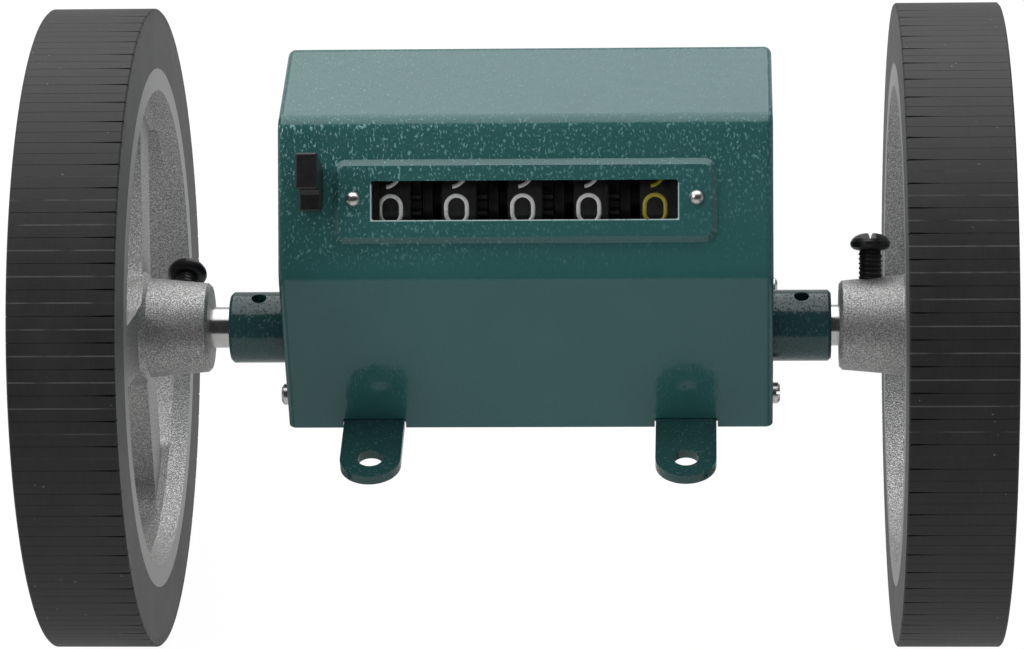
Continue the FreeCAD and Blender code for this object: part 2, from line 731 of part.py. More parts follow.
def drum_x(index):
    return (drum_count - 1) / 2.0 * drum_pitch - index * drum_pitch


def heart_cam(x_from, x_to, lobe_angle):
    """Heart-shaped reset cam: its radius grows evenly from the notch to the lobe, in two arcs a side."""
    edges = []
    for turn in (1, -1):
        points = []
        for step in range(5):
            share = step / 4.0
            radius = cam_small_radius + (cam_large_radius - cam_small_radius) * share
            angle = math.radians(lobe_angle + 180.0 + turn * 180.0 * share)
            points.append(Vector(x_from, drum_axis[0] + radius * math.cos(angle),
                                 drum_axis[1] + radius * math.sin(angle)))
        edges.append(Part.Arc(points[0], points[1], points[2]).toShape())
        edges.append(Part.Arc(points[2], points[3], points[4]).toShape())
    wire = Part.Wire(Part.__sortEdges__(edges))
    return Part.Face(wire).extrude(Vector(x_to - x_from, 0, 0))


def make_drum(index):
    """Digit drum: rim, transfer gear to its right, heart cam and transfer disc to its left."""
    x = drum_x(index)
    left = x - drum_rim_width / 2.0
    right = x + drum_rim_width / 2.0
    body = rod(drum_radius, left, right, drum_axis)
    body = body.makeChamfer(0.25, [e for e in body.Edges if isinstance(e.Curve, Part.Circle)])
    additions = [heart_cam(left - side_layer, left, 90.0)]
    if index < drum_count - 1:
        disc = rod(transfer_disc_radius, left - 2.0 * side_layer, left - side_layer, drum_axis)
        for turn in (-9.0, 9.0):
            angle = math.radians(pinion_angle + 180.0 + turn)
            notch = (drum_axis[0] + transfer_disc_radius * math.cos(angle),
                     drum_axis[1] + transfer_disc_radius * math.sin(angle))
            disc = disc.cut(rod(transfer_notch_radius, left - 2.0 * side_layer - 1, left, notch))
        additions.append(disc)
    else:
        additions.append(rod(drum_hub_radius, -frame_inner_x + layer_gap, left, drum_axis))
    if index > 0:
        additions.append(gear(transfer_module, drum_gear_teeth, pinion_angle, right, right + side_layer,
                              drum_axis, transfer_addendum, transfer_dedendum))
    else:
        additions.append(rod(drum_hub_radius, right, frame_inner_x - layer_gap, drum_axis))
    bore = drum_shaft_radius if index == 0 else drum_shaft_radius + shaft_running_clearance
    return body.fuse(additions).cut(rod(bore, -frame_plate_x - 5, frame_plate_x + 5, drum_axis))


def make_drum_shaft():
    """Shaft that turns with the last drum and carries the input gear outside the frame."""
    return grooved_shaft(drum_shaft_radius, -frame_plate_x - shaft_overhang, gear_low_x + gear_width + 0.3,
                         drum_axis, [left_clip_x])


def make_pinion(index):
    """Transfer pinion between two drums: every second tooth is wide."""
    left = drum_x(index + 1) + drum_rim_width / 2.0
    x_from = left + pinion_end_play
    x_mid = left + side_layer
    x_to = left + 2.0 * side_layer + layer_gap - pinion_end_play
    tooth_angle = pinion_angle + 180.0 + 180.0 / pinion_teeth
    body = gear(transfer_module, pinion_teeth, tooth_angle, x_from, x_mid, pinion_axis,
                transfer_addendum, transfer_dedendum)
    wide = gear(transfer_module, pinion_teeth, tooth_angle, x_mid, x_to, pinion_axis,
                transfer_addendum, transfer_dedendum, kept_teeth=2)
    bore = rod(pinion_shaft_radius + shaft_running_clearance, x_from - 1, x_to + 1, pinion_axis)
    return body.fuse(wide).cut(bore)


def make_pinion_shaft():
    return rod(pinion_shaft_radius, -frame_plate_x - shaft_overhang / 2.0,
               frame_plate_x + 0.4, pinion_axis)


def frame_plate_outline():
    wall_d = -cover_wall - frame_wall_gap
    ear_d = bezel_lift - cover_wall
    return [slope_point(frame_low_s, wall_d), slope_point(frame_ear_low_s, wall_d),
            slope_point(frame_ear_low_s, ear_d), slope_point(frame_ear_high_s, ear_d),
            slope_point(frame_ear_high_s, wall_d), slope_point(slope_length - 2.1, wall_d),
            (reset_axis[0] + 0.5, cover_height - cover_wall - 2.0 * frame_wall_gap),
            (frame_rear_y - 2.0, cover_height - cover_wall - 2.0), (frame_rear_y, frame_strip_high_z),
            (frame_rear_y, frame_strip_low_z), (reduction_axis[0] + 4.0, reduction_axis[1] - 4.5),
            (reduction_axis[0] - 4.5, reduction_axis[1] - 4.5), (drum_axis[0] - 8.5, drum_axis[1] - 7.0)]


def make_counter_frame():
    """Folded frame: two side plates, a rear strip and two ears riveted behind the window frame."""
    outline = frame_plate_outline()
    ear_d = bezel_lift - cover_wall
    pieces = []
    for side in (-1, 1):
        pieces.append(prism(outline, *sorted((side * frame_inner_x, side * frame_plate_x))))
        ear = slope_block(*sorted((side * frame_ear_end_x, side * frame_plate_x)), frame_ear_low_s,
                          frame_ear_high_s, ear_d - frame_sheet, ear_d, 0.0)
        pieces.append(ear)
    strip = block(-frame_plate_x, frame_plate_x, frame_rear_y - frame_sheet, frame_rear_y,
                  frame_strip_low_z, frame_strip_high_z)
    frame = strip.fuse(pieces)
    drum_hole = drum_shaft_radius + shaft_running_clearance
    reset_hole = reset_shaft_radius + shaft_running_clearance
    cuts = [rod(drum_hole, -frame_plate_x - 1, frame_plate_x + 1, drum_axis),
            rod(reset_hole, -frame_plate_x - 1, frame_plate_x + 1, reset_axis),
            rod(pinion_shaft_radius, -frame_plate_x - 1, frame_plate_x + 1, pinion_axis),
            rod(reduction_stud_radius, frame_inner_x - 1, frame_plate_x + 1, reduction_axis)]
    for side in (-1, 1):
        cuts.append(rivet_shape(side, rivet_shank_radius))
    frame = frame.removeSplitter()
    bends = [e for e in edges_along(frame, Vector(0, 0, 1))
             if e.Vertexes[0].Y > frame_rear_y - 0.01 and abs(e.Vertexes[0].X) > frame_plate_x - 0.01]
    return frame.makeFillet(frame_bend_radius, bends).cut(Part.makeCompound(cuts))


def make_reset_shaft():
    left = lever_x - lever_stem_width / 2.0 - 0.4
    return grooved_shaft(reset_shaft_radius, left, frame_plate_x + shaft_overhang, reset_axis, [right_clip_x])


def make_reset_fingers():
    """Five thin fingers on the reset shaft, one over each drum's heart cam."""
    to_drum = direction(reset_axis, drum_axis) + reset_travel
    fingers = []
    for index in range(drum_count):
        x = drum_x(index) - drum_rim_width / 2.0 - side_layer / 2.0
        half = reset_finger_thickness / 2.0
        root = reset_shaft_radius + 0.7
        tip = reset_finger_width / 2.0
        nose = reset_finger_length
        outline = [(0.0, -root * 0.95), (nose - tip, -tip), (nose, 0.0), (nose - tip, tip),
                   (0.0, root * 0.95)]
        blade = prism([(reset_axis[0] + a, reset_axis[1] + b) for a, b in outline], x - half, x + half)
        blade.rotate(Vector(0, reset_axis[0], reset_axis[1]), Vector(1, 0, 0), to_drum)
        collar = rod(root, x - half, x + half, reset_axis)
        bore = rod(reset_shaft_radius, x - 2, x + 2, reset_axis)
        fingers.append(blade.fuse(collar).cut(bore))
    return Part.makeCompound(fingers)


def lever_outline(pairs):
    """Points of the lever from pairs: u out of the slope, n down it from the knob's upper edge."""
    return [slope_point(lever_root_s - n, u) for u, n in pairs]


def make_reset_lever():
    """Moulded lever: a hub on the reset shaft, a stem through the slot and a stepped knob outside."""
    outline = lever_outline([(lever_lift_gap, lever_knob_taper), (lever_knob_reach, 0.0),
                             (lever_knob_reach, lever_knob_height),
                             (lever_block_reach + lever_step, lever_knob_height),
                             (lever_block_reach, lever_knob_height + lever_step),
                             (lever_block_reach, lever_block_height),
                             (lever_lift_gap, lever_block_height - lever_step)])
    knob = prism(outline, lever_x - lever_knob_width / 2.0, lever_x + lever_knob_width / 2.0)
    tip = Vector(0, out_of_slope[0], out_of_slope[1])
    level = Vector(0, *slope_point(0, lever_block_reach)).dot(tip)
    outer = [e for e in knob.Edges if min(v.Point.dot(tip) for v in e.Vertexes) > level - 0.01]
    knob = knob.makeFillet(lever_corner_round, outer)
    stem_ends = lever_x - lever_stem_width / 2.0, lever_x + lever_stem_width / 2.0
    stem = prism([slope_point(lever_stem_high_s, lever_lift_gap + 0.5),
                  slope_point(lever_stem_high_s, 1.8 - lever_stem_depth),
                  slope_point(reset_pivot_s - 0.8, reset_hub_radius - 1.2 - reset_pivot_depth),
                  slope_point(reset_pivot_s - 1.0, 0.6 - reset_hub_radius - reset_pivot_depth),
                  slope_point(lever_stem_low_s, -lever_stem_depth),
                  slope_point(lever_stem_low_s, lever_lift_gap + 0.5)], *stem_ends)
    hub = rod(reset_hub_radius, *stem_ends, reset_axis)
    bore = rod(reset_shaft_radius, lever_x - lever_knob_width, lever_x + lever_knob_width, reset_axis)
    return stem.fuse([hub, knob]).cut(bore)


def arc_towards(start, heading, end, reach):
    """Arc from start to end that leaves along heading; reach is the length of its tangents."""
    cosine = heading.dot((end - start).normalize())
    corner = start + heading * reach
    middle = (start + corner * (2.0 * cosine) + end) * (0.5 / (1.0 + cosine))
    return Part.Arc(start, middle, end).toShape()


def biarc(start, start_heading, end, end_heading):
    """Two arcs that join smoothly, from one point and heading to another."""
    span = end - start
    opening = 1.0 - start_heading.dot(end_heading)
    along = span.dot(start_heading + end_heading)
    reach = (math.sqrt(along ** 2 + 2.0 * opening * span.dot(span)) - along) / (2.0 * opening)
    middle = (start + end + (start_heading - end_heading) * reach) * 0.5
    first = arc_towards(start, start_heading, middle, reach)
    second = arc_towards(end, end_heading * -1.0, middle, reach)
    return [first, Part.Arc(middle, second.valueAt((second.FirstParameter + second.LastParameter) / 2.0),
                            end).toShape()]


def make_reset_spring():
    """Torsion spring coiled round the reset shaft, one wire from leg to leg."""
    x_start = -frame_inner_x + spring_plate_gap + spring_wire_radius
    climb = spring_pitch / (2.0 * math.pi)

    def coil_point(angle):
        return Vector(x_start + climb * angle, reset_axis[0] + spring_mean_radius * math.cos(angle),
                      reset_axis[1] + spring_mean_radius * math.sin(angle))

    def coil_heading(angle):
        return Vector(climb, -spring_mean_radius * math.sin(angle),
                      spring_mean_radius * math.cos(angle)).normalize()

    quarters = int(round(4 * spring_turns))
    angles = [math.pi / 2.0 * i for i in range(quarters + 1)]
    tip = coil_point(0.0) - coil_heading(0.0) * spring_low_leg
    tail = coil_point(angles[-1]) + coil_heading(angles[-1]) * spring_high_leg
    edges = [Part.LineSegment(tip, coil_point(0.0)).toShape()]
    for low, high in zip(angles, angles[1:]):
        edges += biarc(coil_point(low), coil_heading(low), coil_point(high), coil_heading(high))
    edges.append(Part.LineSegment(coil_point(angles[-1]), tail).toShape())
    path = Part.Wire(edges)
    section = Part.Wire(Part.makeCircle(spring_wire_radius, tip, coil_heading(0.0)))
    print_least_gap(path)
    return path.makePipeShell([section], True, False)


def print_least_gap(path):
    """Least gap between windings of the spring, measured on points along its wire."""
    points = path.discretize(Distance=spring_wire_radius / 2.0)
    apart = int(math.pi * spring_mean_radius / (spring_wire_radius / 2.0))
    gap = min(points[i].distanceToPoint(points[j]) - 2.0 * spring_wire_radius
              for i in range(len(points)) for j in range(i + apart, len(points)))
    print("reset_spring least gap to itself %.3f mm" % gap)


def build_all():
    parts = {
        "base_plate": make_base_plate(),
        "cover": make_cover(),
        "left_bearing": make_bearing(-1),
        "right_bearing": make_bearing(1),
        "window_rivets": make_window_rivets(),
        "cover_screws": make_cover_screws(),
        "counter_frame": make_counter_frame(),
        "pinion_shaft": make_pinion_shaft(),
        "reduction_stud": make_reduction_stud(),
        "stud_clip": make_stud_clip(),
        "axle": make_axle(),
        "axle_gear": make_axle_gear(),
        "axle_clips": make_axle_clips(),
        "left_wheel": make_wheel(-1, left_hub_reach, left_set_screw_angle),
        "right_wheel": make_wheel(1, right_hub_reach, right_set_screw_angle),
        "left_tyre": make_tyre(-1),
        "right_tyre": make_tyre(1),
        "left_set_screw": make_set_screw(-1, left_hub_reach, left_set_screw_angle,
                                         left_set_screw_stand, left_slot_turn),
        "right_set_screw": make_set_screw(1, right_hub_reach, right_set_screw_angle,
                                          right_set_screw_stand, right_slot_turn),
        "reduction_gear": make_reduction_gear(),
        "input_gear": make_input_gear(),
        "drum_shaft": make_drum_shaft(),
        "drum_shaft_clip": make_drum_shaft_clip(),
        "reset_shaft": make_reset_shaft(),
        "reset_shaft_clip": make_reset_shaft_clip(),
        "reset_fingers": make_reset_fingers(),
        "reset_lever": make_reset_lever(),
        "reset_spring": make_reset_spring(),
    }
    for index in range(drum_count):
        parts["digit_drum_%d" % (index + 1)] = make_drum(index)
    for index in range(drum_count - 1):
        parts["transfer_pinion_%d" % (index + 1)] = make_pinion(index)
    return parts


def main():
    os.makedirs("parts", exist_ok=True)
    for name, shape in build_all().items():
        shape.exportStep("parts/%s.step" % name)
        print(name, "solids", len(shape.Solids), "volume %.2f" % shape.Volume, "valid", shape.isValid())


main()
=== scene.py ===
# %% [markdown]
# # A rolling length counter
# Two rubber-tyred wheels share an axle that runs through a small green housing. The tyres roll
# on cable or cloth, and the turning axle drives five digit drums behind a window. The solids
# come ready made from the frame. This lesson gives them their finishes, cuts the slits of the
# tyres and the threads of the set screws, prints the numerals on the drums and lights the whole
# like a catalogue page.

import math

import bmesh
import bpy
from mathutils import Matrix, Vector


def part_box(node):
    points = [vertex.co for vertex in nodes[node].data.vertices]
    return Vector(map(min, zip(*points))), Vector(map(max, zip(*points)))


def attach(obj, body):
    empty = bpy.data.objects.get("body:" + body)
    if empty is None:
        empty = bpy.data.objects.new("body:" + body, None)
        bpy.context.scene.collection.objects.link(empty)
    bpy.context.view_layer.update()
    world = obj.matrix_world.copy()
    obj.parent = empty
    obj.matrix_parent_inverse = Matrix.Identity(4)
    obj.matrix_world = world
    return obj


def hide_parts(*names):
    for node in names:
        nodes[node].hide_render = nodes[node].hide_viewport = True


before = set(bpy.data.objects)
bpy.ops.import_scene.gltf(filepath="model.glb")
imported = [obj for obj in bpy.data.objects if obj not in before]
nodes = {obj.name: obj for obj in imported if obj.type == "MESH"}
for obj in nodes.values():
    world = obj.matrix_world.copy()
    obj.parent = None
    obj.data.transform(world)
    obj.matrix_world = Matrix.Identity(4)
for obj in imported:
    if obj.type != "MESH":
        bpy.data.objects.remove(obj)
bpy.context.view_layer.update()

# %% [markdown]
# ## Places
# Everything below hangs on a few places that the frame already knows: where the axle and the
# drum shaft run, how large the tyres are and where the cover ends. Asking the frame keeps the
# finishes and the printed digits in step with the solids.

# %% Places read from the frame
MM = 0.001
DEGREES = 180.0 / math.pi


def middle(node):
    low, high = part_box(node)
    return (low + high) / 2


def half_size(node):
    """Half the size of a node along X, Y and Z."""
    low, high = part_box(node)
    return (high - low) / 2


def in_mm(*values):
    return [round(value / MM, 2) for value in values]


axle_middle = middle("left_tyre")
drum_middle = middle("digit_drum_3")
wheel_radius = half_size("left_tyre").z
drum_radius = half_size("digit_drum_3").z
axle_at = (axle_middle.y, axle_middle.z)
drum_at = (drum_middle.y, drum_middle.z)
cover_low, cover_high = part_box("cover")
print("axle at", in_mm(*axle_at), "tyre radius", in_mm(wheel_radius))
print("drums at", in_mm(*drum_at), "drum radius", in_mm(drum_radius))

# %% [markdown]
# ## Sums on a node sheet
# A finish is a small calculation: grain height, a worn edge, a printed line. Written as node
# after node it is hard to read. The class below wraps a socket, so that an ordinary expression
# such as `1 - mask * 0.5` adds the Math nodes by itself. Every other node comes from one method,
# which takes its type, its settings and what its sockets hold.


# %% A small class for sums
class Wire:
    """The output of a node; arithmetic on it adds Math nodes."""

    def __init__(self, sheet, socket):
        self.sheet = sheet
        self.socket = socket

    def __add__(self, other):
        return self.sheet.sum("ADD", self, other)

    def __sub__(self, other):
        return self.sheet.sum("SUBTRACT", self, other)

    def __rsub__(self, other):
        return self.sheet.sum("SUBTRACT", other, self)

    def __mul__(self, other):
        return self.sheet.sum("MULTIPLY", self, other)

    def __truediv__(self, other):
        return self.sheet.sum("DIVIDE", self, other)

    def __rtruediv__(self, other):
        return self.sheet.sum("DIVIDE", other, self)

    def __pow__(self, other):
        return self.sheet.sum("POWER", self, other)

    def __abs__(self):
        return self.sheet.sum("ABSOLUTE", self)

    def __neg__(self):
        return self * -1.0

    __radd__ = __add__
    __rmul__ = __mul__

    def least(self, other):
        """The smaller of the two."""
        return self.sheet.sum("MINIMUM", self, other)

    def most(self, other):
        """The larger of the two."""
        return self.sheet.sum("MAXIMUM", self, other)

    def clamped(self):
        """The value, held between 0 and 1."""
        return self.sheet.sum("ADD", self, 0.0, clamp=True)

    def rise(self, start, stop):
        """0 below start, 1 above stop, and a smooth step between; the two may be swapped."""
        settings = {"interpolation_type": "SMOOTHSTEP"}
        low, high = min(start, stop), max(start, stop)
        inputs = {"Value": self, "From Min": low, "From Max": high}
        step = self.sheet.node("ShaderNodeMapRange", settings, inputs)["Result"]
        return step if start < stop else 1 - step


print("sums ready")


# %% Any node from one method
class Outputs:
    """The outputs of a node, by name or number."""

    def __init__(self, sheet, node):
        self.sheet = sheet
        self.node = node

    def __getitem__(self, key):
        return Wire(self.sheet, self.node.outputs[key])


class Nodes:
    """A set of nodes, for a finish or for a shape."""

    def __init__(self, tree):
        self.tree = tree

    def node(self, kind, settings=None, inputs=None):
        """Adds a node; an input holds a value, a link, or a list of links."""
        made = self.tree.nodes.new(kind)
        for key, value in (settings or {}).items():
            setattr(made, key, value)
        for key, value in (inputs or {}).items():
            for item in value if isinstance(value, list) else [value]:
                if isinstance(item, Wire):
                    self.tree.links.new(item.socket, made.inputs[key])
                else:
                    made.inputs[key].default_value = item
        return Outputs(self, made)

    def sum(self, operation, *values, clamp=False):
        settings = {"operation": operation, "use_clamp": clamp}
        return self.node("ShaderNodeMath", settings, dict(enumerate(values)))[0]

    def vector(self, x, y, z):
        return self.node("ShaderNodeCombineXYZ", None, {0: x, 1: y, 2: z})[0]

    def split(self, vector):
        """The x, y and z of a vector."""
        parts = self.node("ShaderNodeSeparateXYZ", None, {0: vector})
        return parts[0], parts[1], parts[2]


print("node method ready")

# %% [markdown]
# ## A sheet for a finish
# Every finish needs the same few things: a position in millimetres, noise, a blend of two
# colours, and a shader at the end. Colours and vectors go through nodes made for them, because a
# Math node would turn a colour grey. What changes over a surface is linked to the shader; what
# is the same everywhere is set on its socket.


# %% The sheet of a material or of the world
def paint(colour):
    """A colour of three numbers gets its fourth; a link stays as it is."""
    return colour if isinstance(colour, Wire) else (*colour, 1.0)


class Sheet(Nodes):
    """The node sheet of a material or of the world."""

    def __init__(self, owner):
        owner.use_nodes = True
        super().__init__(owner.node_tree)
        self.tree.nodes.clear()
        self.owner = owner

    def mix(self, amount, first, second):
        """Blend of two colours; the Mix node has its colours at 6 and 7 and their blend at 2."""
        inputs = {0: amount, 6: paint(first), 7: paint(second)}
        return self.node("ShaderNodeMix", {"data_type": "RGBA"}, inputs)[2]

    def position(self):
        """Position on the object, in millimetres."""
        inputs = {0: self.node("ShaderNodeTexCoord")["Object"], "Scale": 1 / MM}
        return self.node("ShaderNodeVectorMath", {"operation": "SCALE"}, inputs)[0]

    def stretched(self, vector, scale):
        settings = {"operation": "MULTIPLY"}
        return self.node("ShaderNodeVectorMath", settings, {0: vector, 1: scale})[0]

    def noise(self, vector, scale, detail=2.0, roughness=0.5, distortion=0.0):
        inputs = {"Vector": vector, "Scale": scale, "Detail": detail, "Roughness": roughness,
                  "Distortion": distortion}
        return self.node("ShaderNodeTexNoise", None, inputs)["Fac"]

    def specks(self, vector, scale):
        """Distance to the nearest of many scattered points."""
        return self.node("ShaderNodeTexVoronoi", None, {"Vector": vector, "Scale": scale})["Distance"]

    def bump(self, height, depth_mm):
        return self.node("ShaderNodeBump", None, {"Distance": depth_mm * MM, "Height": height})[0]

    def finish(self, colour, rough, height, depth_mm, fixed):
        """Ends a material: colour, roughness and height may vary, the fixed sockets don't."""
        inputs = {"Base Color": colour, "Roughness": rough, "Normal": self.bump(height, depth_mm)}
        shader = self.node("ShaderNodeBsdfPrincipled", None, {**inputs, **fixed})[0]
        self.node("ShaderNodeOutputMaterial", None, {"Surface": shader})
        return self.owner


def new_sheet(name):
    return Sheet(bpy.data.materials.new(name))


print("node sheets ready")

# %% [markdown]
# ## Distance round an axle
# Turned and rolling pieces repeat round their axle, so their finishes need two numbers: how far
# a point lies from the axle, and at which angle. Both come from Y and Z alone, because every
# axle here runs along X.


# %% Radius and angle about an axle
def around(sheet, y, z, axis):
    """Radius in millimetres and angle in degrees about an axis along X."""
    dy = y - axis[0] / MM
    dz = z - axis[1] / MM
    radius = (dy * dy + dz * dz) ** 0.5
    angle = sheet.sum("ARCTAN2", dz, dy) * DEGREES
    return radius, angle


print("polar helper ready")

# %% [markdown]
# ## Hammered enamel
# The housing wears a hammered paint: a glossy film with slow waves, a trace of orange peel, and
# steep little drops drawn out along the slope, which catch the light. Their colour is also
# painted paler than the film between them, as a painted highlight. Cells could make the drops, but
# cells are too even. A stretched noise, cut off at a level, gives islands of many sizes. They
# stand higher and carry more painted highlight on the left and near the top, where the lamps
# catch them. On the rim of the window opening the paint is rubbed thin and pale, with a painted
# highlight on all but the upper side, which faces away from the light.

# %% Colours and places of the enamel
enamel_green = (0.022, 0.098, 0.097)
# The cover's green made darker, as a painted shade for the bearings and the base plate.
enamel_shaded = (0.014, 0.054, 0.055)
# The drops' paler colour is a painted highlight.
drop_highlight = (0.185, 0.400, 0.390)
# Pale rim of the window: rubbed paint, and a painted highlight.
rim_wear_and_highlight = (0.42, 0.56, 0.55)
slope_foot = (cover_low.y / MM, 29.7)
slope_direction = (0.5698, 0.8218)
top_fold = cover_high.z / MM


def up_the_slope(y, z):
    """Distance in millimetres up the sloping face from its lower fold."""
    return (y - slope_foot[0]) * slope_direction[0] + (z - slope_foot[1]) * slope_direction[1]


def off_the_slope(y, z):
    """Distance in millimetres out of the sloping face, below 0 inside the housing."""
    return (z - slope_foot[1]) * slope_direction[0] - (y - slope_foot[0]) * slope_direction[1]


print("slope starts", round(slope_foot[1], 1), "mm up, top fold at", round(top_fold, 1))

# %% Drops of paint
drop_stretch = (1.0, 0.55, 0.55)
# A drop rises from its foot to its top between these two levels of the noise.
drop_edge = (0.58, 0.80)
# How strongly the drops show, as height and as painted highlight, from 0 to 1: everywhere, and
# what each place adds or takes.
drops_everywhere = 0.10
drops_on_left = 0.45
drops_near_top = 0.50
drops_on_front = 0.03
drops_lost_on_top = 0.75
# Where these changes begin and where they are full, in millimetres along X, up the slope, up the
# slope from the front, and below and above the top fold.
leftward = (15.0, -38.0)
upward = (5.0, 20.0)
front_bend = (1.2, 4.2)
top_bend = (0.9, 0.2)


def enamel_drops(sheet, place):
    """Steep little islands of paint, drawn out along the slope, 1 on top of each."""
    leaning = sheet.stretched(place, drop_stretch)
    return sheet.noise(leaning, scale=3.0, detail=0.0, distortion=0.6).rise(*drop_edge)


def drops_and_glints(x, z, s):
    """Drops and their painted highlight: more on the left and near the top, few on the front and the
    flat top.
    """
    on_slope = drops_everywhere + x.rise(*leftward) * drops_on_left
    on_slope = (on_slope + s.rise(*upward) * drops_near_top).least(1.0)
    off_front = s.rise(*front_bend)
    on_top = z.rise(top_fold - top_bend[0], top_fold + top_bend[1])
    drop_and_glint_amount = on_slope * off_front + (1 - off_front) * drops_on_front
    return drop_and_glint_amount * (1 - on_top * drops_lost_on_top)


print("drops rise between noise levels", drop_edge)

# %% Rubbed rim of the window, with painted highlight
window_half_width = 24.75
window_low, window_high = 9.6, 15.95
# The pale rim fades in between two distances from the opening's edge, in millimetres: outside
# it, inside it, and below its upper side.
rim_outside = (0.24, 0.12)
rim_inside = (-0.6, -0.3)
rim_below_top = (0.3, 0.8)
# The same for the depth under the sloping face, which keeps the pale rim off the rear wall.
slope_skin = (-4.0, -3.0)


def window_edge(s, x, off):
    """1 on the pale rim of the window opening, rubbed paint with a painted highlight, but for its upper
    side, 0 elsewhere.
    """
    half_height = (window_high - window_low) / 2
    from_side = abs(x) - window_half_width
    from_low = abs(s - (window_low + half_height)) - half_height
    out = from_side.most(from_low)
    rim = out.rise(*rim_outside) * out.rise(*rim_inside) * off.rise(*slope_skin)
    return rim * s.rise(window_high - rim_below_top[0], window_high - rim_below_top[1])


print("window", 2 * window_half_width, "by", round(window_high - window_low, 2), "mm")

# %% Hammered green enamel
# The drops are painted paler in this share, as a painted highlight. The cloud is the paint's own uneven
# tone.
drop_highlight_share = 0.80
drop_height = 0.8
peel_height = 0.06
cloud_paleness = 0.05
enamel_rough = 0.10
enamel_depth = 0.075
enamel_fixed = {"IOR": 1.50}


def enamel_coat(sheet, place, green, drop_glint, relief, waves):
    """One coat: the drops get a painted highlight in the given share, relief raises them, waves are the
    slow ones' height.
    """
    drops = enamel_drops(sheet, place)
    slow = sheet.noise(place, scale=0.45, detail=1.0)
    peel = sheet.noise(place, scale=2.4, detail=1.0)
    cloud = sheet.noise(place, scale=0.09)
    pale = (drops * drop_glint * drop_highlight_share + cloud * cloud_paleness).clamped()
    colour = sheet.mix(pale, green, drop_highlight)
    rough = enamel_rough + cloud * 0.06
    height = drops * relief * drop_height + slow * waves + peel * peel_height
    return colour, rough, height


sheet = new_sheet("hammered_enamel_cover")
place = sheet.position()
x, y, z = sheet.split(place)
s = up_the_slope(y, z)
# One amount sets both the height of the drops and their painted highlight.
drop_and_glint_amount = drops_and_glints(x, z, s)
colour, rough, height = enamel_coat(sheet, place, enamel_green, drop_glint=drop_and_glint_amount,
                                    relief=drop_and_glint_amount.most(0.30), waves=0.55)
# The rim is pale where the paint is rubbed thin, and paler as a painted highlight. Its upper side,
# turned away from the light, is left out.
worn = sheet.noise(place, scale=0.8, detail=3.0).rise(0.22, 0.42)
rubbed_and_highlit = window_edge(s, x, off_the_slope(y, z)) * worn
colour = sheet.mix(rubbed_and_highlit, colour, rim_wear_and_highlight)
cover_enamel = sheet.finish(colour, rough + rubbed_and_highlit * 0.25, height, enamel_depth, enamel_fixed)

# The bearings and the base plate wear the same paint, darker as a painted shade, with a faint painted
# highlight on their drops.
sheet = new_sheet("hammered_enamel")
colour, rough, height = enamel_coat(sheet, sheet.position(), enamel_shaded, drop_glint=0.12,
                                    relief=0.9, waves=1.0)
shaded_plain_enamel = sheet.finish(colour, rough, height, enamel_depth, enamel_fixed)
print("enamel", cover_enamel.name, shaded_plain_enamel.name)

# %% [markdown]
# ## Sand-cast aluminium
# The wheels come from a sand mould, so their skin is a fine even grain, while the rim's two faces
# are turned on a lathe to a smoother, ringed surface. One material does both: distance from the
# axle and along it says where the turned faces are. The grain is two sizes of noise as height,
# and its tops are paler and a little polished, which makes the skin sparkle.

# %% Cast aluminium with turned faces
cast_dark = (0.27, 0.27, 0.268)
cast_light = (0.62, 0.62, 0.615)
turned_tint = (0.40, 0.40, 0.397)
near_face_x = abs(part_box("left_tyre")[1].x) / MM
far_face_x = abs(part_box("left_tyre")[0].x) / MM
# A turned face reaches this deep into the rim, in millimetres, and is full from the second value.
face_skin, face_edge = 0.25, 0.05
rim_inner_radius = 39.8
rim_blend = 0.3
# The tops of the grain lie between these two levels of its noise.
grain_tops = (0.36, 0.72)
lump_height = 0.5
ring_height = 0.18
cast_depth = 0.085
cast_rough = 0.52

sheet = new_sheet("cast_aluminium")
place = sheet.position()
x, y, z = sheet.split(place)
radius, angle = around(sheet, y, z, axle_at)
out = abs(x)
near_face = (out - near_face_x).rise(face_skin, face_edge)
far_face = (out - far_face_x).rise(-face_skin, -face_edge)
on_rim = radius.rise(rim_inner_radius, rim_inner_radius + rim_blend)
turned = ((near_face + far_face) * on_rim).clamped()
grain = sheet.noise(place, scale=4.6, detail=1.0)
lumps = sheet.noise(place, scale=0.55)
rings = sheet.noise(sheet.vector(radius * 9.0, angle * 0.02, 0.0), scale=1.0)
height = (grain + lumps * lump_height) * (1 - turned) + rings * turned * ring_height
tops = grain.rise(*grain_tops)
colour = sheet.mix(turned, sheet.mix(tops, cast_dark, cast_light), turned_tint)
rough = cast_rough - tops * 0.12 + turned * 0.02
cast_aluminium = sheet.finish(colour, rough, height, cast_depth, {"Metallic": 0.85})
print("casting", cast_aluminium.name)

# %% [markdown]
# ## Node trees that make shapes
# Geometry Nodes are the tool for anything that repeats or follows a path. The tree is built here
# in code, like the shader sheets, with named inputs. It runs once on a carrier object, and its
# result is copied to a plain mesh, so that no live modifier is left behind.


# %% Objects and plain meshes
def stand(name, data):
    """An object that holds the data, linked to the scene."""
    item = bpy.data.objects.new(name, data)
    bpy.context.scene.collection.objects.link(item)
    return item


def worked_out(item):
    """A plain mesh of the object as its modifiers make it."""
    bpy.context.view_layer.update()
    ready = item.evaluated_get(bpy.context.evaluated_depsgraph_get())
    return bpy.data.meshes.new_from_object(ready)


print("object helpers ready")


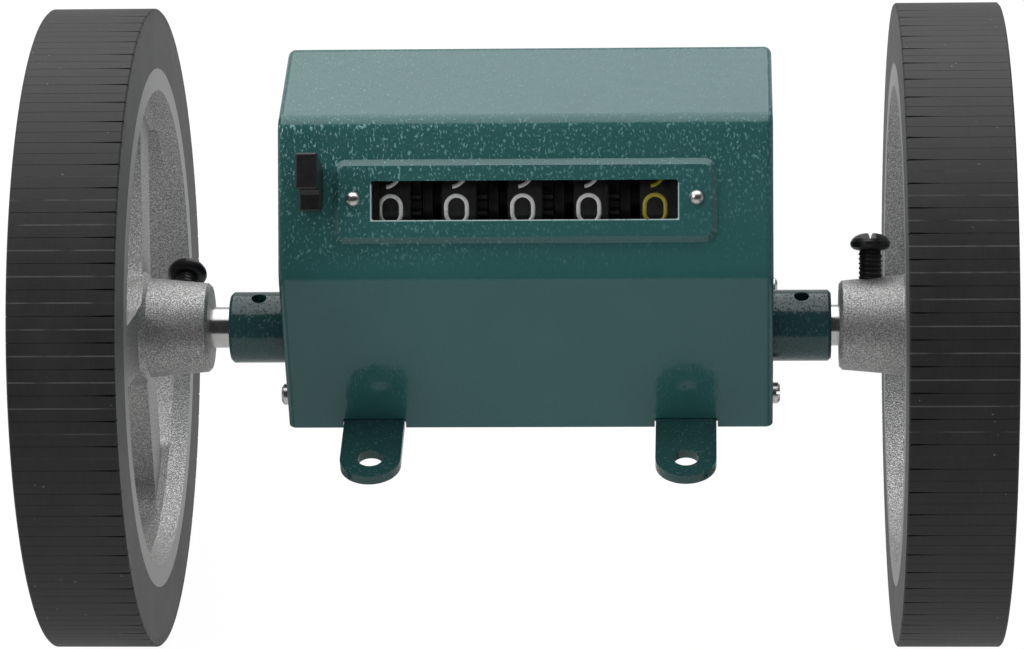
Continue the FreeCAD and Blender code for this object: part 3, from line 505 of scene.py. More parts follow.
# %% A small class for Geometry Nodes
class Tree(Nodes):
    """A Geometry Nodes tree with named inputs."""

    def __init__(self, name, inputs):
        super().__init__(bpy.data.node_groups.new(name, "GeometryNodeTree"))
        self.socket("Geometry", "Geometry", "INPUT")
        for label, kind in inputs.items():
            self.socket(label, kind, "INPUT")
        self.socket("Geometry", "Geometry", "OUTPUT")
        self.entry = self.node("NodeGroupInput")

    def socket(self, label, kind, way):
        self.tree.interface.new_socket(label, in_out=way, socket_type="NodeSocket" + kind)

    def moved(self, geometry, **how):
        """Sets the Position of each point, or shifts it by an Offset."""
        return self.node("GeometryNodeSetPosition", None, {"Geometry": geometry, **how})[0]

    def swept(self, path, section):
        """A solid bar along a path."""
        inputs = {"Curve": path, "Profile Curve": section, "Fill Caps": True}
        return self.node("GeometryNodeCurveToMesh", None, inputs)[0]

    def close(self, geometry, material):
        """Ends the tree: real geometry with its material."""
        real = self.node("GeometryNodeRealizeInstances", None, {"Geometry": geometry})[0]
        inputs = {"Geometry": real, "Material": material}
        coloured = self.node("GeometryNodeSetMaterial", None, inputs)[0]
        self.node("NodeGroupOutput", None, {0: coloured})
        return self.tree


def run_tree(carrier, tree, values, name):
    """Puts the tree on a carrier, sets its inputs, and returns the result as a plain mesh object."""
    modifier = carrier.modifiers.new("tree", "NODES")
    modifier.node_group = tree
    for item in tree.interface.items_tree:
        if item.in_out == "INPUT" and item.name in values:
            modifier[item.identifier] = values[item.name]
    mesh = worked_out(carrier)
    mesh.name = name
    carrier.modifiers.remove(modifier)
    return stand(name, mesh)


print("tree helper ready")

# %% [markdown]
# ## Slit tread
# The tread is one block repeated: a strip of rubber as wide as the tyre, with a knife slit down
# its middle and a shallow mould line at its edge. Only this block is listed, as a skin of rows
# and columns. A row runs round the tyre, and the rows go from the bore over the tread and back to
# the bore. The slit is widest towards the housing and narrows within the first part of the tread.

# %% Sizes of the tread
slit_count = 81
slit_pitch = math.tau / slit_count
slit_above_front = 45.9
slit_first = math.radians(180.0 - slit_above_front)
slit_depth = 1.1 * MM
slit_wide, slit_narrow = 0.32 * MM, 0.06 * MM
# The slit is narrow from this share of the tread's width on; its foot has this share of its mouth.
slit_narrow_from = 0.3
slit_foot_share = 0.7
line_wide, line_deep = 0.10 * MM, 0.03 * MM
tread_bevel = 0.25 * MM
tread_steps = 6
tyre_depth = 9.9 * MM
bore_radius = wheel_radius - tyre_depth
print("slits", slit_count, "every", round(math.degrees(slit_pitch), 3), "degrees")


# %% One block of the tread
def tread_rows(width):
    """Distance from the near face, radius, and whether the slit cuts it, for each row."""
    rim = wheel_radius - tread_bevel
    flank = (bore_radius + rim) / 2
    land = width - 2 * tread_bevel
    rows = [(0.0, bore_radius, False), (0.0, flank, False), (0.0, rim, True)]
    for k in range(tread_steps + 1):
        rows.append((tread_bevel + land * k / tread_steps, wheel_radius, True))
    return rows + [(width, rim, True), (width, flank, False), (width, bore_radius, False)]


def tread_columns(share):
    """Angle and depth of each column; share is 0 at the near face and 1 at the far one."""
    flare = max(0.0, 1.0 - share / slit_narrow_from)
    gap = (slit_narrow + (slit_wide - slit_narrow) * flare) / wheel_radius / 2
    line = line_wide / wheel_radius / 2
    half = [(gap * slit_foot_share, slit_depth), (gap, 0.0), (slit_pitch * 0.25, 0.0),
            (slit_pitch / 2 - line, 0.0), (slit_pitch / 2, line_deep)]
    return [(-angle, depth) for angle, depth in reversed(half)] + half


def tread_block(side):
    """The skin of one block about the X axis, as a plain object."""
    low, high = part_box("%s_tyre" % side)
    near_face, outward = (high.x, -1.0) if side == "left" else (low.x, 1.0)
    width = high.x - low.x
    rows = tread_rows(width)
    points, faces = [], []
    for out, radius, cut in rows:
        columns = tread_columns(out / width)
        for angle, depth in columns:
            at = radius - (depth if cut else 0.0)
            points.append((near_face + outward * out, at * math.cos(angle), at * math.sin(angle)))
    count = len(columns)
    for row in range(len(rows)):
        here, there = row * count, (row + 1) % len(rows) * count
        for k in range(count - 1):
            faces.append((here + k, here + k + 1, there + k + 1, there + k))
    mesh = bpy.data.meshes.new("tread_block")
    mesh.from_pydata(points, [], faces)
    return stand("tread_block", mesh)


print("columns in a block", len(tread_columns(0.0)))

# %% [markdown]
# ## A ring of blocks
# An array round an axle could be a modifier with an empty as its pivot. A tree is plainer: it
# makes as many points as there are blocks, sets a block on each, turned by its own share of a
# full turn, and welds the seams. The ring is made about the X axis and then moved to the axle.

# %% The tree that closes the ring
weld_distance = 0.01 * MM


def ring_tree():
    """Repeats a block round the X axis and sets the ring on the axle."""
    tree = Tree("ring_of_blocks", {"Blocks": "Int", "First angle": "Float", "Axis Y": "Float",
                                   "Axis Z": "Float", "Rubber": "Material"})
    entry = tree.entry
    points = tree.node("GeometryNodePoints", None, {"Count": entry["Blocks"]})[0]
    number = tree.node("GeometryNodeInputIndex")[0]
    turn = entry["First angle"] + number * math.tau / entry["Blocks"]
    ring = tree.node("GeometryNodeInstanceOnPoints", None, {
        "Points": points, "Instance": entry["Geometry"], "Rotation": tree.vector(turn, 0.0, 0.0)})[0]
    solid = tree.node("GeometryNodeRealizeInstances", None, {"Geometry": ring})[0]
    inputs = {"Geometry": solid, "Distance": weld_distance}
    welded = tree.node("GeometryNodeMergeByDistance", None, inputs)[0]
    axle = tree.vector(0.0, entry["Axis Y"], entry["Axis Z"])
    return tree.close(tree.moved(welded, Offset=axle), entry["Rubber"])


def face_outward(piece):
    """Turns every face of a closed skin outwards."""
    skin = bmesh.new()
    skin.from_mesh(piece.data)
    bmesh.ops.recalc_face_normals(skin, faces=skin.faces)
    skin.to_mesh(piece.data)
    skin.free()


blocks_in_ring = ring_tree()
print("tree", blocks_in_ring.name, "with", len(blocks_in_ring.nodes), "nodes")

# %% [markdown]
# ## Tyre rubber
# The rubber is black, and bloom makes it grey in a slow cloud. The mould lines carry a pale
# painted highlight along their edges, in three stretches of the tyre and none in between. The
# flanks show the fine rings of the trimming knife, and pale dust sits in specks. The lines follow
# the angle round the axle, read on the tyre itself, so that each stays with its slit while the
# wheel turns.

# %% Colours and places of the rubber
rubber_dark = (0.007, 0.007, 0.0074)
rubber_grey = (0.031, 0.031, 0.032)
flank_grey = (0.100, 0.100, 0.101)
# A pale grey for the dust specks and for the painted highlight on the mould lines.
glint_and_dust = (0.20, 0.20, 0.20)
glint_above_front = 38.0
glint_middle = 180.0 - glint_above_front
glint_stretches = 3
glint_strength = 0.30
dust_strength = 0.6
rubber_rough = 0.46
rubber_depth = 0.05
# In shares of a pitch from the mould line, where the painted highlight starts and where it is full.
line_edge = (0.034, 0.020)
# In millimetres below the top of the tread, where the flank ends and where the tread starts.
flank_end, tread_start = 0.45, 0.25
# Added to the count of slits, so that it stays above 0 all round.
slits_ahead = 100.0
print("chalk round", glint_middle, "degrees and", glint_stretches - 1, "more places")

# %% Tyre rubber
sheet = new_sheet("tyre_rubber")
place = sheet.position()
x, y, z = sheet.split(place)
radius, angle = around(sheet, y, z, axle_at)
tyre_edge = wheel_radius / MM
tread = radius.rise(tyre_edge - flank_end, tyre_edge - tread_start)
step = (angle - math.degrees(slit_first)) / math.degrees(slit_pitch) + slits_ahead
off_line = abs(sheet.sum("FRACT", step) - 0.5)
own_place = sheet.vector(x * 0.18, sheet.sum("FLOOR", step) * 3.7, 0.0)
broken = sheet.noise(own_place, scale=1.0).rise(0.30, 0.55)
# The painted highlight on the mould lines is strongest in three stretches round the tyre.
turn = (angle - glint_middle) * (glint_stretches * math.pi / 180.0)
glinting = sheet.sum("COSINE", turn).rise(0.05, 0.75)
hairline_glint = off_line.rise(*line_edge) * tread * broken * glinting
dusty = sheet.noise(place, scale=0.13, detail=1.0).rise(0.52, 0.62)
dust = sheet.specks(place, scale=0.50).rise(0.10, 0.05) * dusty
bloom = sheet.noise(place, scale=0.12, detail=3.0, roughness=0.6)
scuffed = sheet.stretched(place, (2.2, 0.35, 0.35))
scuff = sheet.noise(scuffed, scale=1.0, detail=3.0, roughness=0.6)
knife = sheet.noise(sheet.vector(radius * 5.0, angle * 0.05, 0.0), scale=1.0)
colour = sheet.mix((bloom * 0.65 + scuff * 0.35).clamped(), rubber_dark, rubber_grey)
colour = sheet.mix((1 - tread) * (0.35 + knife * 0.6), colour, flank_grey)
colour = sheet.mix((hairline_glint * glint_strength + dust * dust_strength).clamped(), colour, glint_and_dust)
fine = sheet.noise(place, scale=3.2, detail=3.0, roughness=0.65)
height = fine * 0.5 + knife * (1 - tread) * 0.8 + scuff * 0.25
rough = rubber_rough + bloom * 0.16
tyre_rubber = sheet.finish(colour, rough, height, rubber_depth, {"Specular IOR Level": 0.36})
print("rubber", tyre_rubber.name)

# %% [markdown]
# ## Tyres on their wheels
# Both tyres are made the same way, each from the face that is nearer to the housing. Each rides
# on the rolling axle and takes the place of the plain tyre.

# %% Set the slit tyres on the wheels
for side in ("left", "right"):
    block = tread_block(side)
    sizes = {"Blocks": slit_count, "First angle": slit_first, "Axis Y": axle_at[0],
             "Axis Z": axle_at[1], "Rubber": tyre_rubber}
    tyre = run_tree(block, blocks_in_ring, sizes, "%s_slit_tyre" % side)
    bpy.data.objects.remove(block)
    face_outward(tyre)
    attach(tyre, "rolling_axle")
    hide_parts("%s_tyre" % side)
    print(tyre.name, "faces", len(tyre.data.polygons))

# %% [markdown]
# ## Bright and blackened steel
# The axle is ground: its lines run round it, so the noise changes fast along X and slowly across
# it. Small fasteners are plated and slightly uneven. The set screws are blackened in oil, dark
# but still metallic. The gears are brass and share the same recipe.


# %% Steels
def make_metal(name, dark, light, rough_range, line_scale, metallic=1.0):
    """Metal with fine lines across X and a slow cloud in its shine."""
    sheet = new_sheet(name)
    place = sheet.position()
    x, y, z = sheet.split(place)
    along = sheet.vector(x * line_scale, y * 0.3, z * 0.3)
    lines = sheet.noise(along, scale=1.0, detail=3.0, roughness=0.6)
    cloud = sheet.noise(place, scale=0.5, detail=3.0)
    colour = sheet.mix(cloud, dark, light)
    rough_low, rough_high = rough_range
    rough = rough_low + (rough_high - rough_low) * (lines * 0.6 + cloud * 0.4)
    return sheet.finish(colour, rough, lines, depth_mm=0.006, fixed={"Metallic": metallic})


ground_steel = make_metal("ground_steel", (0.50, 0.50, 0.50), (0.66, 0.66, 0.65),
                          rough_range=(0.12, 0.26), line_scale=14.0)
plated_steel = make_metal("plated_steel", (0.55, 0.53, 0.52), (0.80, 0.77, 0.75),
                          rough_range=(0.20, 0.42), line_scale=3.0)
black_steel = make_metal("blackened_steel", (0.012, 0.012, 0.013), (0.045, 0.044, 0.046),
                         rough_range=(0.24, 0.42), line_scale=4.0, metallic=0.7)
gear_brass = make_metal("gear_brass", (0.58, 0.40, 0.15), (0.75, 0.56, 0.26),
                        rough_range=(0.22, 0.38), line_scale=5.0)
print("metals", ground_steel.name, plated_steel.name, black_steel.name, gear_brass.name)

# %% [markdown]
# ## Moulded plastics and ink
# The lever is a satin black moulding, scuffed a little all over. The drums are glossier black,
# with faint upright scratches from running past each other. The pinions are milky nylon. A
# little noise in colour and shine keeps each from looking like a flat colour. The ink on the
# drums is satin, with small worn spots.


# %% Plastics
def make_plastic(name, dark, light, rough_range, stretch, depth_mm):
    """Moulded plastic; stretch draws its scratches out along one direction."""
    sheet = new_sheet(name)
    place = sheet.position()
    scratch = sheet.noise(sheet.stretched(place, stretch), scale=1.0, detail=4.0, roughness=0.65)
    cloud = sheet.noise(place, scale=0.35)
    colour = sheet.mix(scratch.rise(0.45, 0.80) * 0.7 + cloud * 0.3, dark, light)
    rough_low, rough_high = rough_range
    rough = rough_low + (rough_high - rough_low) * (scratch * 0.5 + cloud * 0.5)
    height = scratch + sheet.noise(place, scale=4.0) * 0.4
    return sheet.finish(colour, rough, height, depth_mm, {"IOR": 1.5})


lever_plastic = make_plastic("lever_plastic", (0.009, 0.008, 0.009), (0.030, 0.027, 0.030),
                             rough_range=(0.26, 0.46), stretch=(1.5, 1.5, 1.5), depth_mm=0.012)
drum_plastic = make_plastic("drum_plastic", (0.010, 0.009, 0.009), (0.042, 0.039, 0.038),
                            rough_range=(0.22, 0.42), stretch=(5.0, 0.5, 0.5), depth_mm=0.010)
nylon = make_plastic("milky_nylon", (0.62, 0.60, 0.55), (0.80, 0.79, 0.75),
                     rough_range=(0.35, 0.50), stretch=(1.0, 1.0, 1.0), depth_mm=0.010)
print("plastics", lever_plastic.name, drum_plastic.name, nylon.name)


# %% Printing inks
def make_print(name, ink, worn):
    """Printing ink with small wear spots."""
    sheet = new_sheet(name)
    place = sheet.position()
    wear = sheet.noise(place, scale=1.6, detail=4.0, roughness=0.6).rise(0.52, 0.75)
    colour = sheet.mix(wear * 0.8, ink, worn)
    height = sheet.noise(place, scale=3.0)
    return sheet.finish(colour, rough=0.45, height=height, depth_mm=0.012, fixed={})


white_ink = make_print("white_ink", (0.74, 0.74, 0.74), (0.40, 0.40, 0.41))
yellow_ink = make_print("yellow_ink", (0.42, 0.35, 0.03), (0.20, 0.17, 0.03))
print("inks", white_ink.name, yellow_ink.name)

# %% [markdown]
# ## Finishes on the solids
# The solids keep their shapes. Each one gets its finish by name, and a list makes it easy to see
# that none is forgotten.

# %% Give each solid its finish
drum_names = ["digit_drum_%d" % n for n in range(1, 6)]
finishes = {
    cover_enamel: ["cover"],
    shaded_plain_enamel: ["base_plate", "left_bearing", "right_bearing"],
    cast_aluminium: ["left_wheel", "right_wheel"],
    tyre_rubber: ["left_tyre", "right_tyre"],
    ground_steel: ["axle", "drum_shaft", "pinion_shaft", "reset_shaft", "reduction_stud"],
    plated_steel: ["window_rivets", "cover_screws", "axle_clips", "stud_clip", "drum_shaft_clip",
                   "reset_shaft_clip", "reset_spring"],
    black_steel: ["left_set_screw", "right_set_screw", "counter_frame", "reset_fingers"],
    gear_brass: ["axle_gear", "reduction_gear", "input_gear"],
    lever_plastic: ["reset_lever"],
    drum_plastic: drum_names,
    nylon: ["transfer_pinion_%d" % n for n in range(1, 5)],
}
for material, names in finishes.items():
    for name in names:
        nodes[name].data.materials.clear()
        nodes[name].data.materials.append(material)
unfinished = set(nodes) - {name for names in finishes.values() for name in names}
print("solids without a finish:", sorted(unfinished))

# %% [markdown]
# ## Set screws
# Each hub is held by a slotted screw that was never turned home, so its thread shows. The head is
# a profile turned round the screw's own axis: a low dome whose underside rounds in to the neck.
# A Boolean cuts the driver's slot. The thread is a spiral with a small four-sided section, which
# a tree winds round the shank, because a spiral is easy to state and tedious to draw.

# %% Head and shank by turning a profile
screw_neck = 1.80 * MM
screw_segments = 48
# Radius and height above the seat, in millimetres, from the top of the dome to the neck.
head_profile = [(0.0, 2.90), (0.9, 2.88), (1.7, 2.72), (2.4, 2.42), (2.95, 1.98),
                (3.28, 1.45), (3.34, 1.0), (3.15, 0.55), (2.75, 0.22), (2.2, 0.04)]


def skin_object(skin, name):
    """Closes the work on a skin: its faces turned outwards, as an object."""
    bmesh.ops.recalc_face_normals(skin, faces=skin.faces)
    mesh = bpy.data.meshes.new(name)
    skin.to_mesh(mesh)
    skin.free()
    return stand(name, mesh)


def turned_screw(shank_length):
    """Screw along Z with its seat at the origin, the shank below it."""
    profile = [(r * MM, h * MM) for r, h in head_profile]
    profile += [(screw_neck, 0.0), (screw_neck, -shank_length), (0.0, -shank_length)]
    skin = bmesh.new()
    rings = []
    for radius, height in profile:
        count = screw_segments if radius else 1
        turns = [math.tau * k / count for k in range(count)]
        points = [(radius * math.cos(a), radius * math.sin(a), height) for a in turns]
        rings.append([skin.verts.new(point) for point in points])
    for upper, lower in zip(rings, rings[1:]):
        for k in range(screw_segments):
            corners = [ring[(k + step) % len(ring)] for ring, step in
                       ((upper, 0), (lower, 0), (lower, 1), (upper, 1))]
            skin.faces.new(list(dict.fromkeys(corners)))
    return skin_object(skin, "turned_screw")


print("screw head", round(2 * max(r for r, h in head_profile), 2), "mm across")

# %% The driver's slot
slot_width = 1.15 * MM
slot_bed = 1.95 * MM
slot_tool_reach = 5.0 * MM
slot_tool_top = 4.0 * MM


def cut_slot(screw):
    """Takes the driver's slot out of the head, along Y."""
    wide = (-slot_width / 2, slot_width / 2)
    long = (-slot_tool_reach, slot_tool_reach)
    tool = bmesh.new()
    corners = [(x, y, z) for x in wide for y in long for z in (slot_bed, slot_tool_top)]
    verts = [tool.verts.new(corner) for corner in corners]
    # The six sides of the box, by the numbers of their corners.
    for ids in ((0, 1, 3, 2), (4, 6, 7, 5), (0, 4, 5, 1), (2, 3, 7, 6), (0, 2, 6, 4), (1, 5, 7, 3)):
        tool.faces.new([verts[i] for i in ids])
    cutter = skin_object(tool, "slot_tool")
    cut = screw.modifiers.new("slot", "BOOLEAN")
    cut.operation = "DIFFERENCE"
    cut.solver = "EXACT"
    cut.object = cutter
    slotted = worked_out(screw)
    screw.modifiers.remove(cut)
    screw.data = slotted
    bpy.data.objects.remove(cutter)


print("slot", in_mm(slot_width), "mm wide, its bed", in_mm(slot_bed), "mm above the seat")

# %% The thread as a tree
thread_pitch = 0.77 * MM
thread_height = 0.26 * MM
thread_sink = 0.05 * MM
steps_in_a_turn = 36
ridge_sides = 4


def thread_tree():
    """Joins a spiral ridge to the screw."""
    tree = Tree("thread", {"Shank radius": "Float", "Pitch": "Float", "Turns": "Float",
                           "Ridge": "Float", "Steel": "Material"})
    entry = tree.entry
    length = entry["Turns"] * entry["Pitch"]
    spiral = tree.node("GeometryNodeCurveSpiral", None, {
        "Resolution": steps_in_a_turn, "Rotations": entry["Turns"], "Height": length,
        "Start Radius": entry["Shank radius"], "End Radius": entry["Shank radius"]})[0]
    section = tree.node("GeometryNodeCurvePrimitiveCircle", {"mode": "RADIUS"},
                        {"Resolution": ridge_sides, "Radius": entry["Ridge"]})[0]
    down = tree.vector(0.0, 0.0, -(length + entry["Pitch"] * 0.5))
    lowered = tree.moved(tree.swept(spiral, section), Offset=down)
    joined = tree.node("GeometryNodeJoinGeometry", None, {0: [lowered, entry["Geometry"]]})[0]
    return tree.close(joined, entry["Steel"])


threads = thread_tree()
print("thread every", in_mm(thread_pitch), "mm")

# %% [markdown]
# ## Screws in their hubs
# The two screws lean at different angles and stand out by different lengths. A screw is made
# upright at the origin and then moved once: its slot turned, out to its seat, leant over, and on
# to the hub.

# %% Set the two screws in their hubs
# Lean from upright towards the rear in degrees, millimetres from the axle to the seat, and turn
# of the slot in degrees.
screw_places = {"left": (78.0, 11.3, 25.0), "right": (35.0, 12.3, 8.0)}
shank_foot = 4.0
for side, (lean, seat, slot_turn) in screw_places.items():
    shank = (seat - shank_foot) * MM
    plain_screw = turned_screw(shank)
    cut_slot(plain_screw)
    sizes = {"Shank radius": screw_neck - thread_sink, "Pitch": thread_pitch,
             "Turns": shank / thread_pitch - 1.0, "Ridge": thread_height, "Steel": black_steel}
    screw = run_tree(plain_screw, threads, sizes, "%s_threaded_screw" % side)
    bpy.data.objects.remove(plain_screw)
    on_hub = Matrix.Translation((middle("%s_set_screw" % side).x, axle_at[0], axle_at[1]))
    tilt = Matrix.Rotation(math.radians(-lean), 4, "X")
    out_to_seat = Matrix.Translation((0.0, 0.0, seat * MM))
    turn_slot = Matrix.Rotation(math.radians(slot_turn), 4, "Z")
    screw.data.transform(on_hub @ tilt @ out_to_seat @ turn_slot)
    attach(screw, "rolling_axle")
    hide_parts("%s_set_screw" % side)
    print(screw.name, "faces", len(screw.data.polygons))

# %% [markdown]
# ## Numerals
# Counter drums carry one ring of numerals each, here drawn with a single even stroke, as a pad
# printer leaves them. Each numeral is a short path of arcs and straight runs. Geometry Nodes
# sweep a flat bar along the paths and then wrap the strip round the drum, so that the same
# drawing serves all five drums.

# %% Paths of the numerals
numeral_width = 4.05
numeral_height = 5.3
stroke_width = 0.66


def bow(centre, radii, start, stop, steps=20):
    """Points of an elliptic arc, from one angle in degrees to another."""
    points = []
    for i in range(steps + 1):
        turn = math.radians(start + (stop - start) * i / steps)
        points.append((centre[0] + radii[0] * math.cos(turn), centre[1] + radii[1] * math.sin(turn)))
    return points


def hoop(centre, radii, start=0, steps=26):
    """Points of a whole ellipse, the first not repeated."""
    return bow(centre, radii, start, start + 360, steps)[:-1]


def half_turned(points):
    """The points turned by half a turn, which makes a six of a nine."""
    return [(-px, -py) for px, py in points]


def numeral_paths():
    """The strokes of 0 to 9 as (points, closed), in shares of the half width and half height."""
    w = (numeral_width - stroke_width) / 2
    h = (numeral_height - stroke_width) / 2
    loop, stem = h * 0.56, 0.1
    nine_loop = hoop((0, h - loop), (w, loop), start=-20, steps=30)
    nine_tail = bow((-w * 0.52, h - loop), (w * 1.52, h * 2 - loop), 0, -86)
    zero = bow((0, h * 0.25), (w, h * 0.75), 180, 0) + bow((0, -h * 0.25), (w, h * 0.75), 0, -180)
    one = [(-w * 0.55, h * 0.62), (stem, h), (stem, -h)]
    two = bow((0, h * 0.48), (w, h * 0.52), 165, -25) + [(-w, -h), (w, -h)]
    three = (bow((0, h * 0.50), (w * 0.9, h * 0.50), 155, -90)
             + bow((0, -h * 0.50), (w, h * 0.50), 90, -155))
    four = [(w * 0.45, -h), (w * 0.45, h), (-w, -h * 0.40), (w, -h * 0.40)]
    five = ([(w * 0.85, h), (-w * 0.75, h), (-w * 0.85, h * 0.12)]
            + bow((-w * 0.05, -h * 0.36), (w, h * 0.64), 125, -150))
    six = [(half_turned(nine_tail), False), (half_turned(nine_loop), True)]
    seven = [(-w, h), (w, h), (-w * 0.30, -h)]
    eight = [(hoop((0, h * 0.53), (w * 0.84, h * 0.47)), True),
             (hoop((0, -h * 0.47), (w, h * 0.53)), True)]
    nine = [(nine_tail, False), (nine_loop, True)]
    return [[(zero, True)], [(one, False)], [(two, False)], [(three, False)], [(four, False)],
            [(five, False)], six, [(seven, False)], eight, nine]


print("strokes in each numeral", [len(strokes) for strokes in numeral_paths()])


# %% The strip of numerals
def numeral_strip(pitch):
    """One curve object holding the ten numerals, each a pitch below the one before."""
    strip = bpy.data.curves.new("numeral_strip", "CURVE")
    strip.dimensions = "3D"
    for number, strokes in enumerate(numeral_paths()):
        for points, closed in strokes:
            line = strip.splines.new("POLY")
            line.points.add(len(points) - 1)
            line.use_cyclic_u = closed
            for point, (px, py) in zip(line.points, points):
                point.co = (px * MM, py * MM - number * pitch, 0.0, 1.0)
    return stand("numeral_strip", strip)


numeral_pitch = 2 * math.pi * drum_radius / 10
print("numeral pitch", in_mm(numeral_pitch), "mm")

# %% [markdown]
# ## Wrapping the numerals
# The tree takes the strip, cuts its paths into short pieces so that straight strokes can bend,
# sweeps a flat bar along them, and moves each point from the plane to the drum: its height on
# the strip becomes an angle, and its thickness becomes a small rise above the drum.

# %% A node tree that prints a strip on a drum
path_step = 0.22 * MM


def printing_tree():
    """Wraps flat strokes round a drum."""
    tree = Tree("print_on_drum", {
        "Drum radius": "Float", "Drum X": "Float", "Axis Y": "Float", "Axis Z": "Float",
        "First angle": "Float", "Stroke width": "Float", "Stroke height": "Float",
        "Ink": "Material"})
    entry = tree.entry
    short = tree.node("GeometryNodeResampleCurve", {"mode": "LENGTH"},
                      {"Curve": entry["Geometry"], "Length": path_step})[0]
    upright = tree.node("GeometryNodeSetCurveNormal", {"mode": "Z_UP"}, {"Curve": short})[0]
    bar = tree.node("GeometryNodeCurvePrimitiveQuadrilateral", None,
                    {"Width": entry["Stroke width"], "Height": entry["Stroke height"]})[0]
    strokes = tree.swept(upright, bar)
    x, along, rise = tree.split(tree.node("GeometryNodeInputPosition")[0])
    angle = entry["First angle"] + along / entry["Drum radius"]
    from_axis = entry["Drum radius"] + rise
    wrapped = tree.vector(x + entry["Drum X"],
                          entry["Axis Y"] - from_axis * tree.sum("COSINE", angle),
                          entry["Axis Z"] + from_axis * tree.sum("SINE", angle))
    return tree.close(tree.moved(strokes, Position=wrapped), entry["Ink"])


print_tree = printing_tree()
print("tree inputs", [item.name for item in print_tree.interface.items_tree if item.in_out == "INPUT"])

# %% [markdown]
# ## Printing the drums
# All drums stand at nought, so one angle serves them all. The pitch of the drums is measured
# between the second and the fourth. The printing sits a little to the left on each drum. The
# first drum counts tenths, and its numerals are yellow.

# %% Print the five drums
first_angle = math.radians(25.9)
middle_drum = 3
print_offset = -0.42
ink_height = 0.08 * MM
strip = numeral_strip(numeral_pitch)
drum_pitch = (middle("digit_drum_2").x - middle("digit_drum_4").x) / 2
for number, drum in enumerate(drum_names, start=1):
    drum_x = (middle_drum - number) * drum_pitch + print_offset * MM
    sizes = {"Drum radius": drum_radius, "Drum X": drum_x, "Axis Y": drum_at[0],
             "Axis Z": drum_at[1], "First angle": first_angle, "Stroke width": stroke_width * MM,
             "Stroke height": ink_height, "Ink": yellow_ink if number == 1 else white_ink}
    printed = run_tree(strip, print_tree, sizes, "numerals_%d" % number)
    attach(printed, "drum_%d" % number)
    print(printed.name, "on", drum, "faces", len(printed.data.polygons))
bpy.data.objects.remove(strip)

# %% [markdown]
# ## Table
# The picture is taken as such catalogue pictures are, on a pale table before a white background.
# Light enough to make a matt table white would also bleach the object. So the table is white
# only to the camera and through clear pieces, light grey in reflections, and plain matt to all
# other light. The small matt share that the camera still sees shows the object's shadow.

# %% Table
table_size = 12.0
table_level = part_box("left_tyre")[0].z
table_matt = (0.80, 0.80, 0.80)
white_to_camera = (1.045, 1.045, 1.045)
grey_in_reflections = (0.62, 0.62, 0.62)
white_share = 0.93

half = table_size / 2
corners = [(x, y, table_level) for x, y in ((-half, -half), (half, -half), (half, half), (-half, half))]
table_mesh = bpy.data.meshes.new("table")
table_mesh.from_pydata(corners, [], [(0, 1, 2, 3)])
table = stand("table", table_mesh)
sheet = new_sheet("pale_table")
rays = sheet.node("ShaderNodeLightPath")
seen = rays["Is Camera Ray"].most(rays["Is Glossy Ray"]).most(rays["Is Transmission Ray"])
shine = sheet.mix(rays["Is Glossy Ray"], white_to_camera, grey_in_reflections)
matt = sheet.node("ShaderNodeBsdfDiffuse", None, {"Color": paint(table_matt)})[0]
white = sheet.node("ShaderNodeEmission", None, {"Color": shine})[0]
mixed = sheet.node("ShaderNodeMixShader", None, {0: seen * white_share, 1: matt, 2: white})[0]
sheet.node("ShaderNodeOutputMaterial", None, {"Surface": mixed})
table_mesh.materials.append(sheet.owner)
print("table at", in_mm(table_level), "mm")

# %% [markdown]
# ## Room and lamps
# A wide soft lamp hangs above and a little behind the object, and a small one fills in from the
# left. The lamp paints the top of the housing, and the table's light returns in the lower front.
# The world is the room: in reflections it is dark in front and brighter from overhead to the
# back, which gives the sloping face its depth. The camera sees it white, and matt surfaces get
# an even grey from it.

# %% World
room_dark = 0.04
room_bright_side = 0.56
room_on_matt = 0.42
bright_from, bright_full = 78.0, 100.0

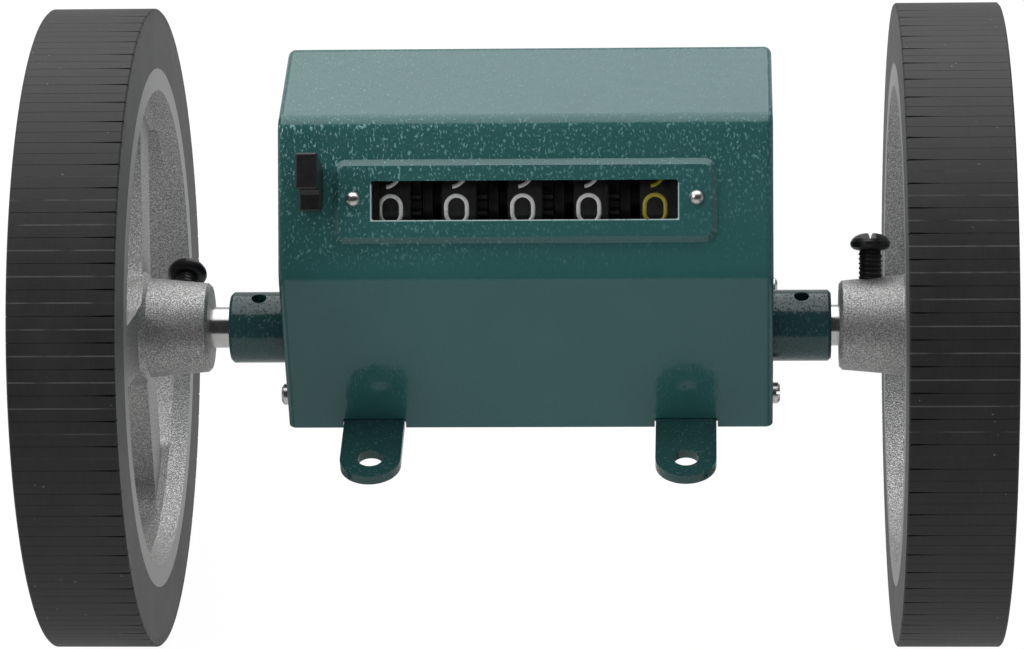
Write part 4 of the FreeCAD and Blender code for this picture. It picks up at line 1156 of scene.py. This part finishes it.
world = bpy.data.worlds.new("studio")
bpy.context.scene.world = world
sheet = Sheet(world)
direction = sheet.node("ShaderNodeTexCoord")["Generated"]
toward_back, up = sheet.split(direction)[1:]
over = sheet.sum("ARCTAN2", up, -toward_back) * DEGREES
rays = sheet.node("ShaderNodeLightPath")
room = room_dark + over.rise(bright_from, bright_full) * room_bright_side
background = rays["Is Camera Ray"].most(rays["Is Transmission Ray"])
level = room + (1 - room) * background
level = level * (1 - rays["Is Diffuse Ray"]) + rays["Is Diffuse Ray"] * room_on_matt
inputs = {"Color": paint((1.0, 1.0, 1.0)), "Strength": level}
air = sheet.node("ShaderNodeBackground", None, inputs)[0]
sheet.node("ShaderNodeOutputWorld", None, {"Surface": air})
print("room", room_dark, "in front and", room_dark + room_bright_side, "behind")


# %% Lamps
def soft_lamp(name, at, aim, size, power):
    """Rectangular lamp at a place in metres, facing another."""
    lamp = bpy.data.lights.new(name, "AREA")
    lamp.shape = "RECTANGLE"
    lamp.size, lamp.size_y = size
    lamp.energy = power
    item = stand(name, lamp)
    item.location = at
    item.rotation_euler = (Vector(aim) - Vector(at)).to_track_quat("-Z", "Y").to_euler()
    return item


overhead_lamp = soft_lamp("overhead_lamp", at=(-0.10, 0.42, 0.80), aim=(0.0, 0.0, 0.02),
                          size=(1.8, 1.45), power=13.5)
left_lamp = soft_lamp("left_lamp", at=(-0.75, -0.45, 0.65), aim=(0.0, 0.0, 0.03),
                      size=(0.22, 0.30), power=2.0)
print("lamps", overhead_lamp.name, left_lamp.name)

# %% [markdown]
# ## Camera
# A long lens from in front, 35 degrees up and a little to the right of the middle, so that the
# left wheel shows its inner face and the right one less of it. The camera is rolled by a
# fraction of a degree, so its axes are worked out one by one.

# %% Camera
camera_at = Vector((30.5, -564.6, 403.3)) * MM
camera_turn = math.radians(3.45)
camera_drop = math.radians(35.0)
camera_roll = math.radians(-0.22)
lens = bpy.data.cameras.new("camera")
lens.sensor_width = 36.0
lens.lens = 144.1
lens.clip_start = 0.01
camera = stand("camera", lens)
camera.location = camera_at
facing = Vector((
    -math.sin(camera_turn) * math.cos(camera_drop),
    math.cos(camera_turn) * math.cos(camera_drop),
    -math.sin(camera_drop),
))
along_picture = (Vector((1.0, 0.0, 0.0)) - facing * facing.x).normalized()
up_picture = along_picture.cross(facing)
picture_right = along_picture * math.cos(camera_roll) + up_picture * math.sin(camera_roll)
picture_up = picture_right.cross(facing)
upright = Matrix((picture_right, picture_up, -facing)).transposed()
camera.rotation_euler = upright.to_euler()
bpy.context.scene.camera = camera
bpy.context.scene.view_settings.view_transform = "Standard"
print("camera at", in_mm(*camera.location))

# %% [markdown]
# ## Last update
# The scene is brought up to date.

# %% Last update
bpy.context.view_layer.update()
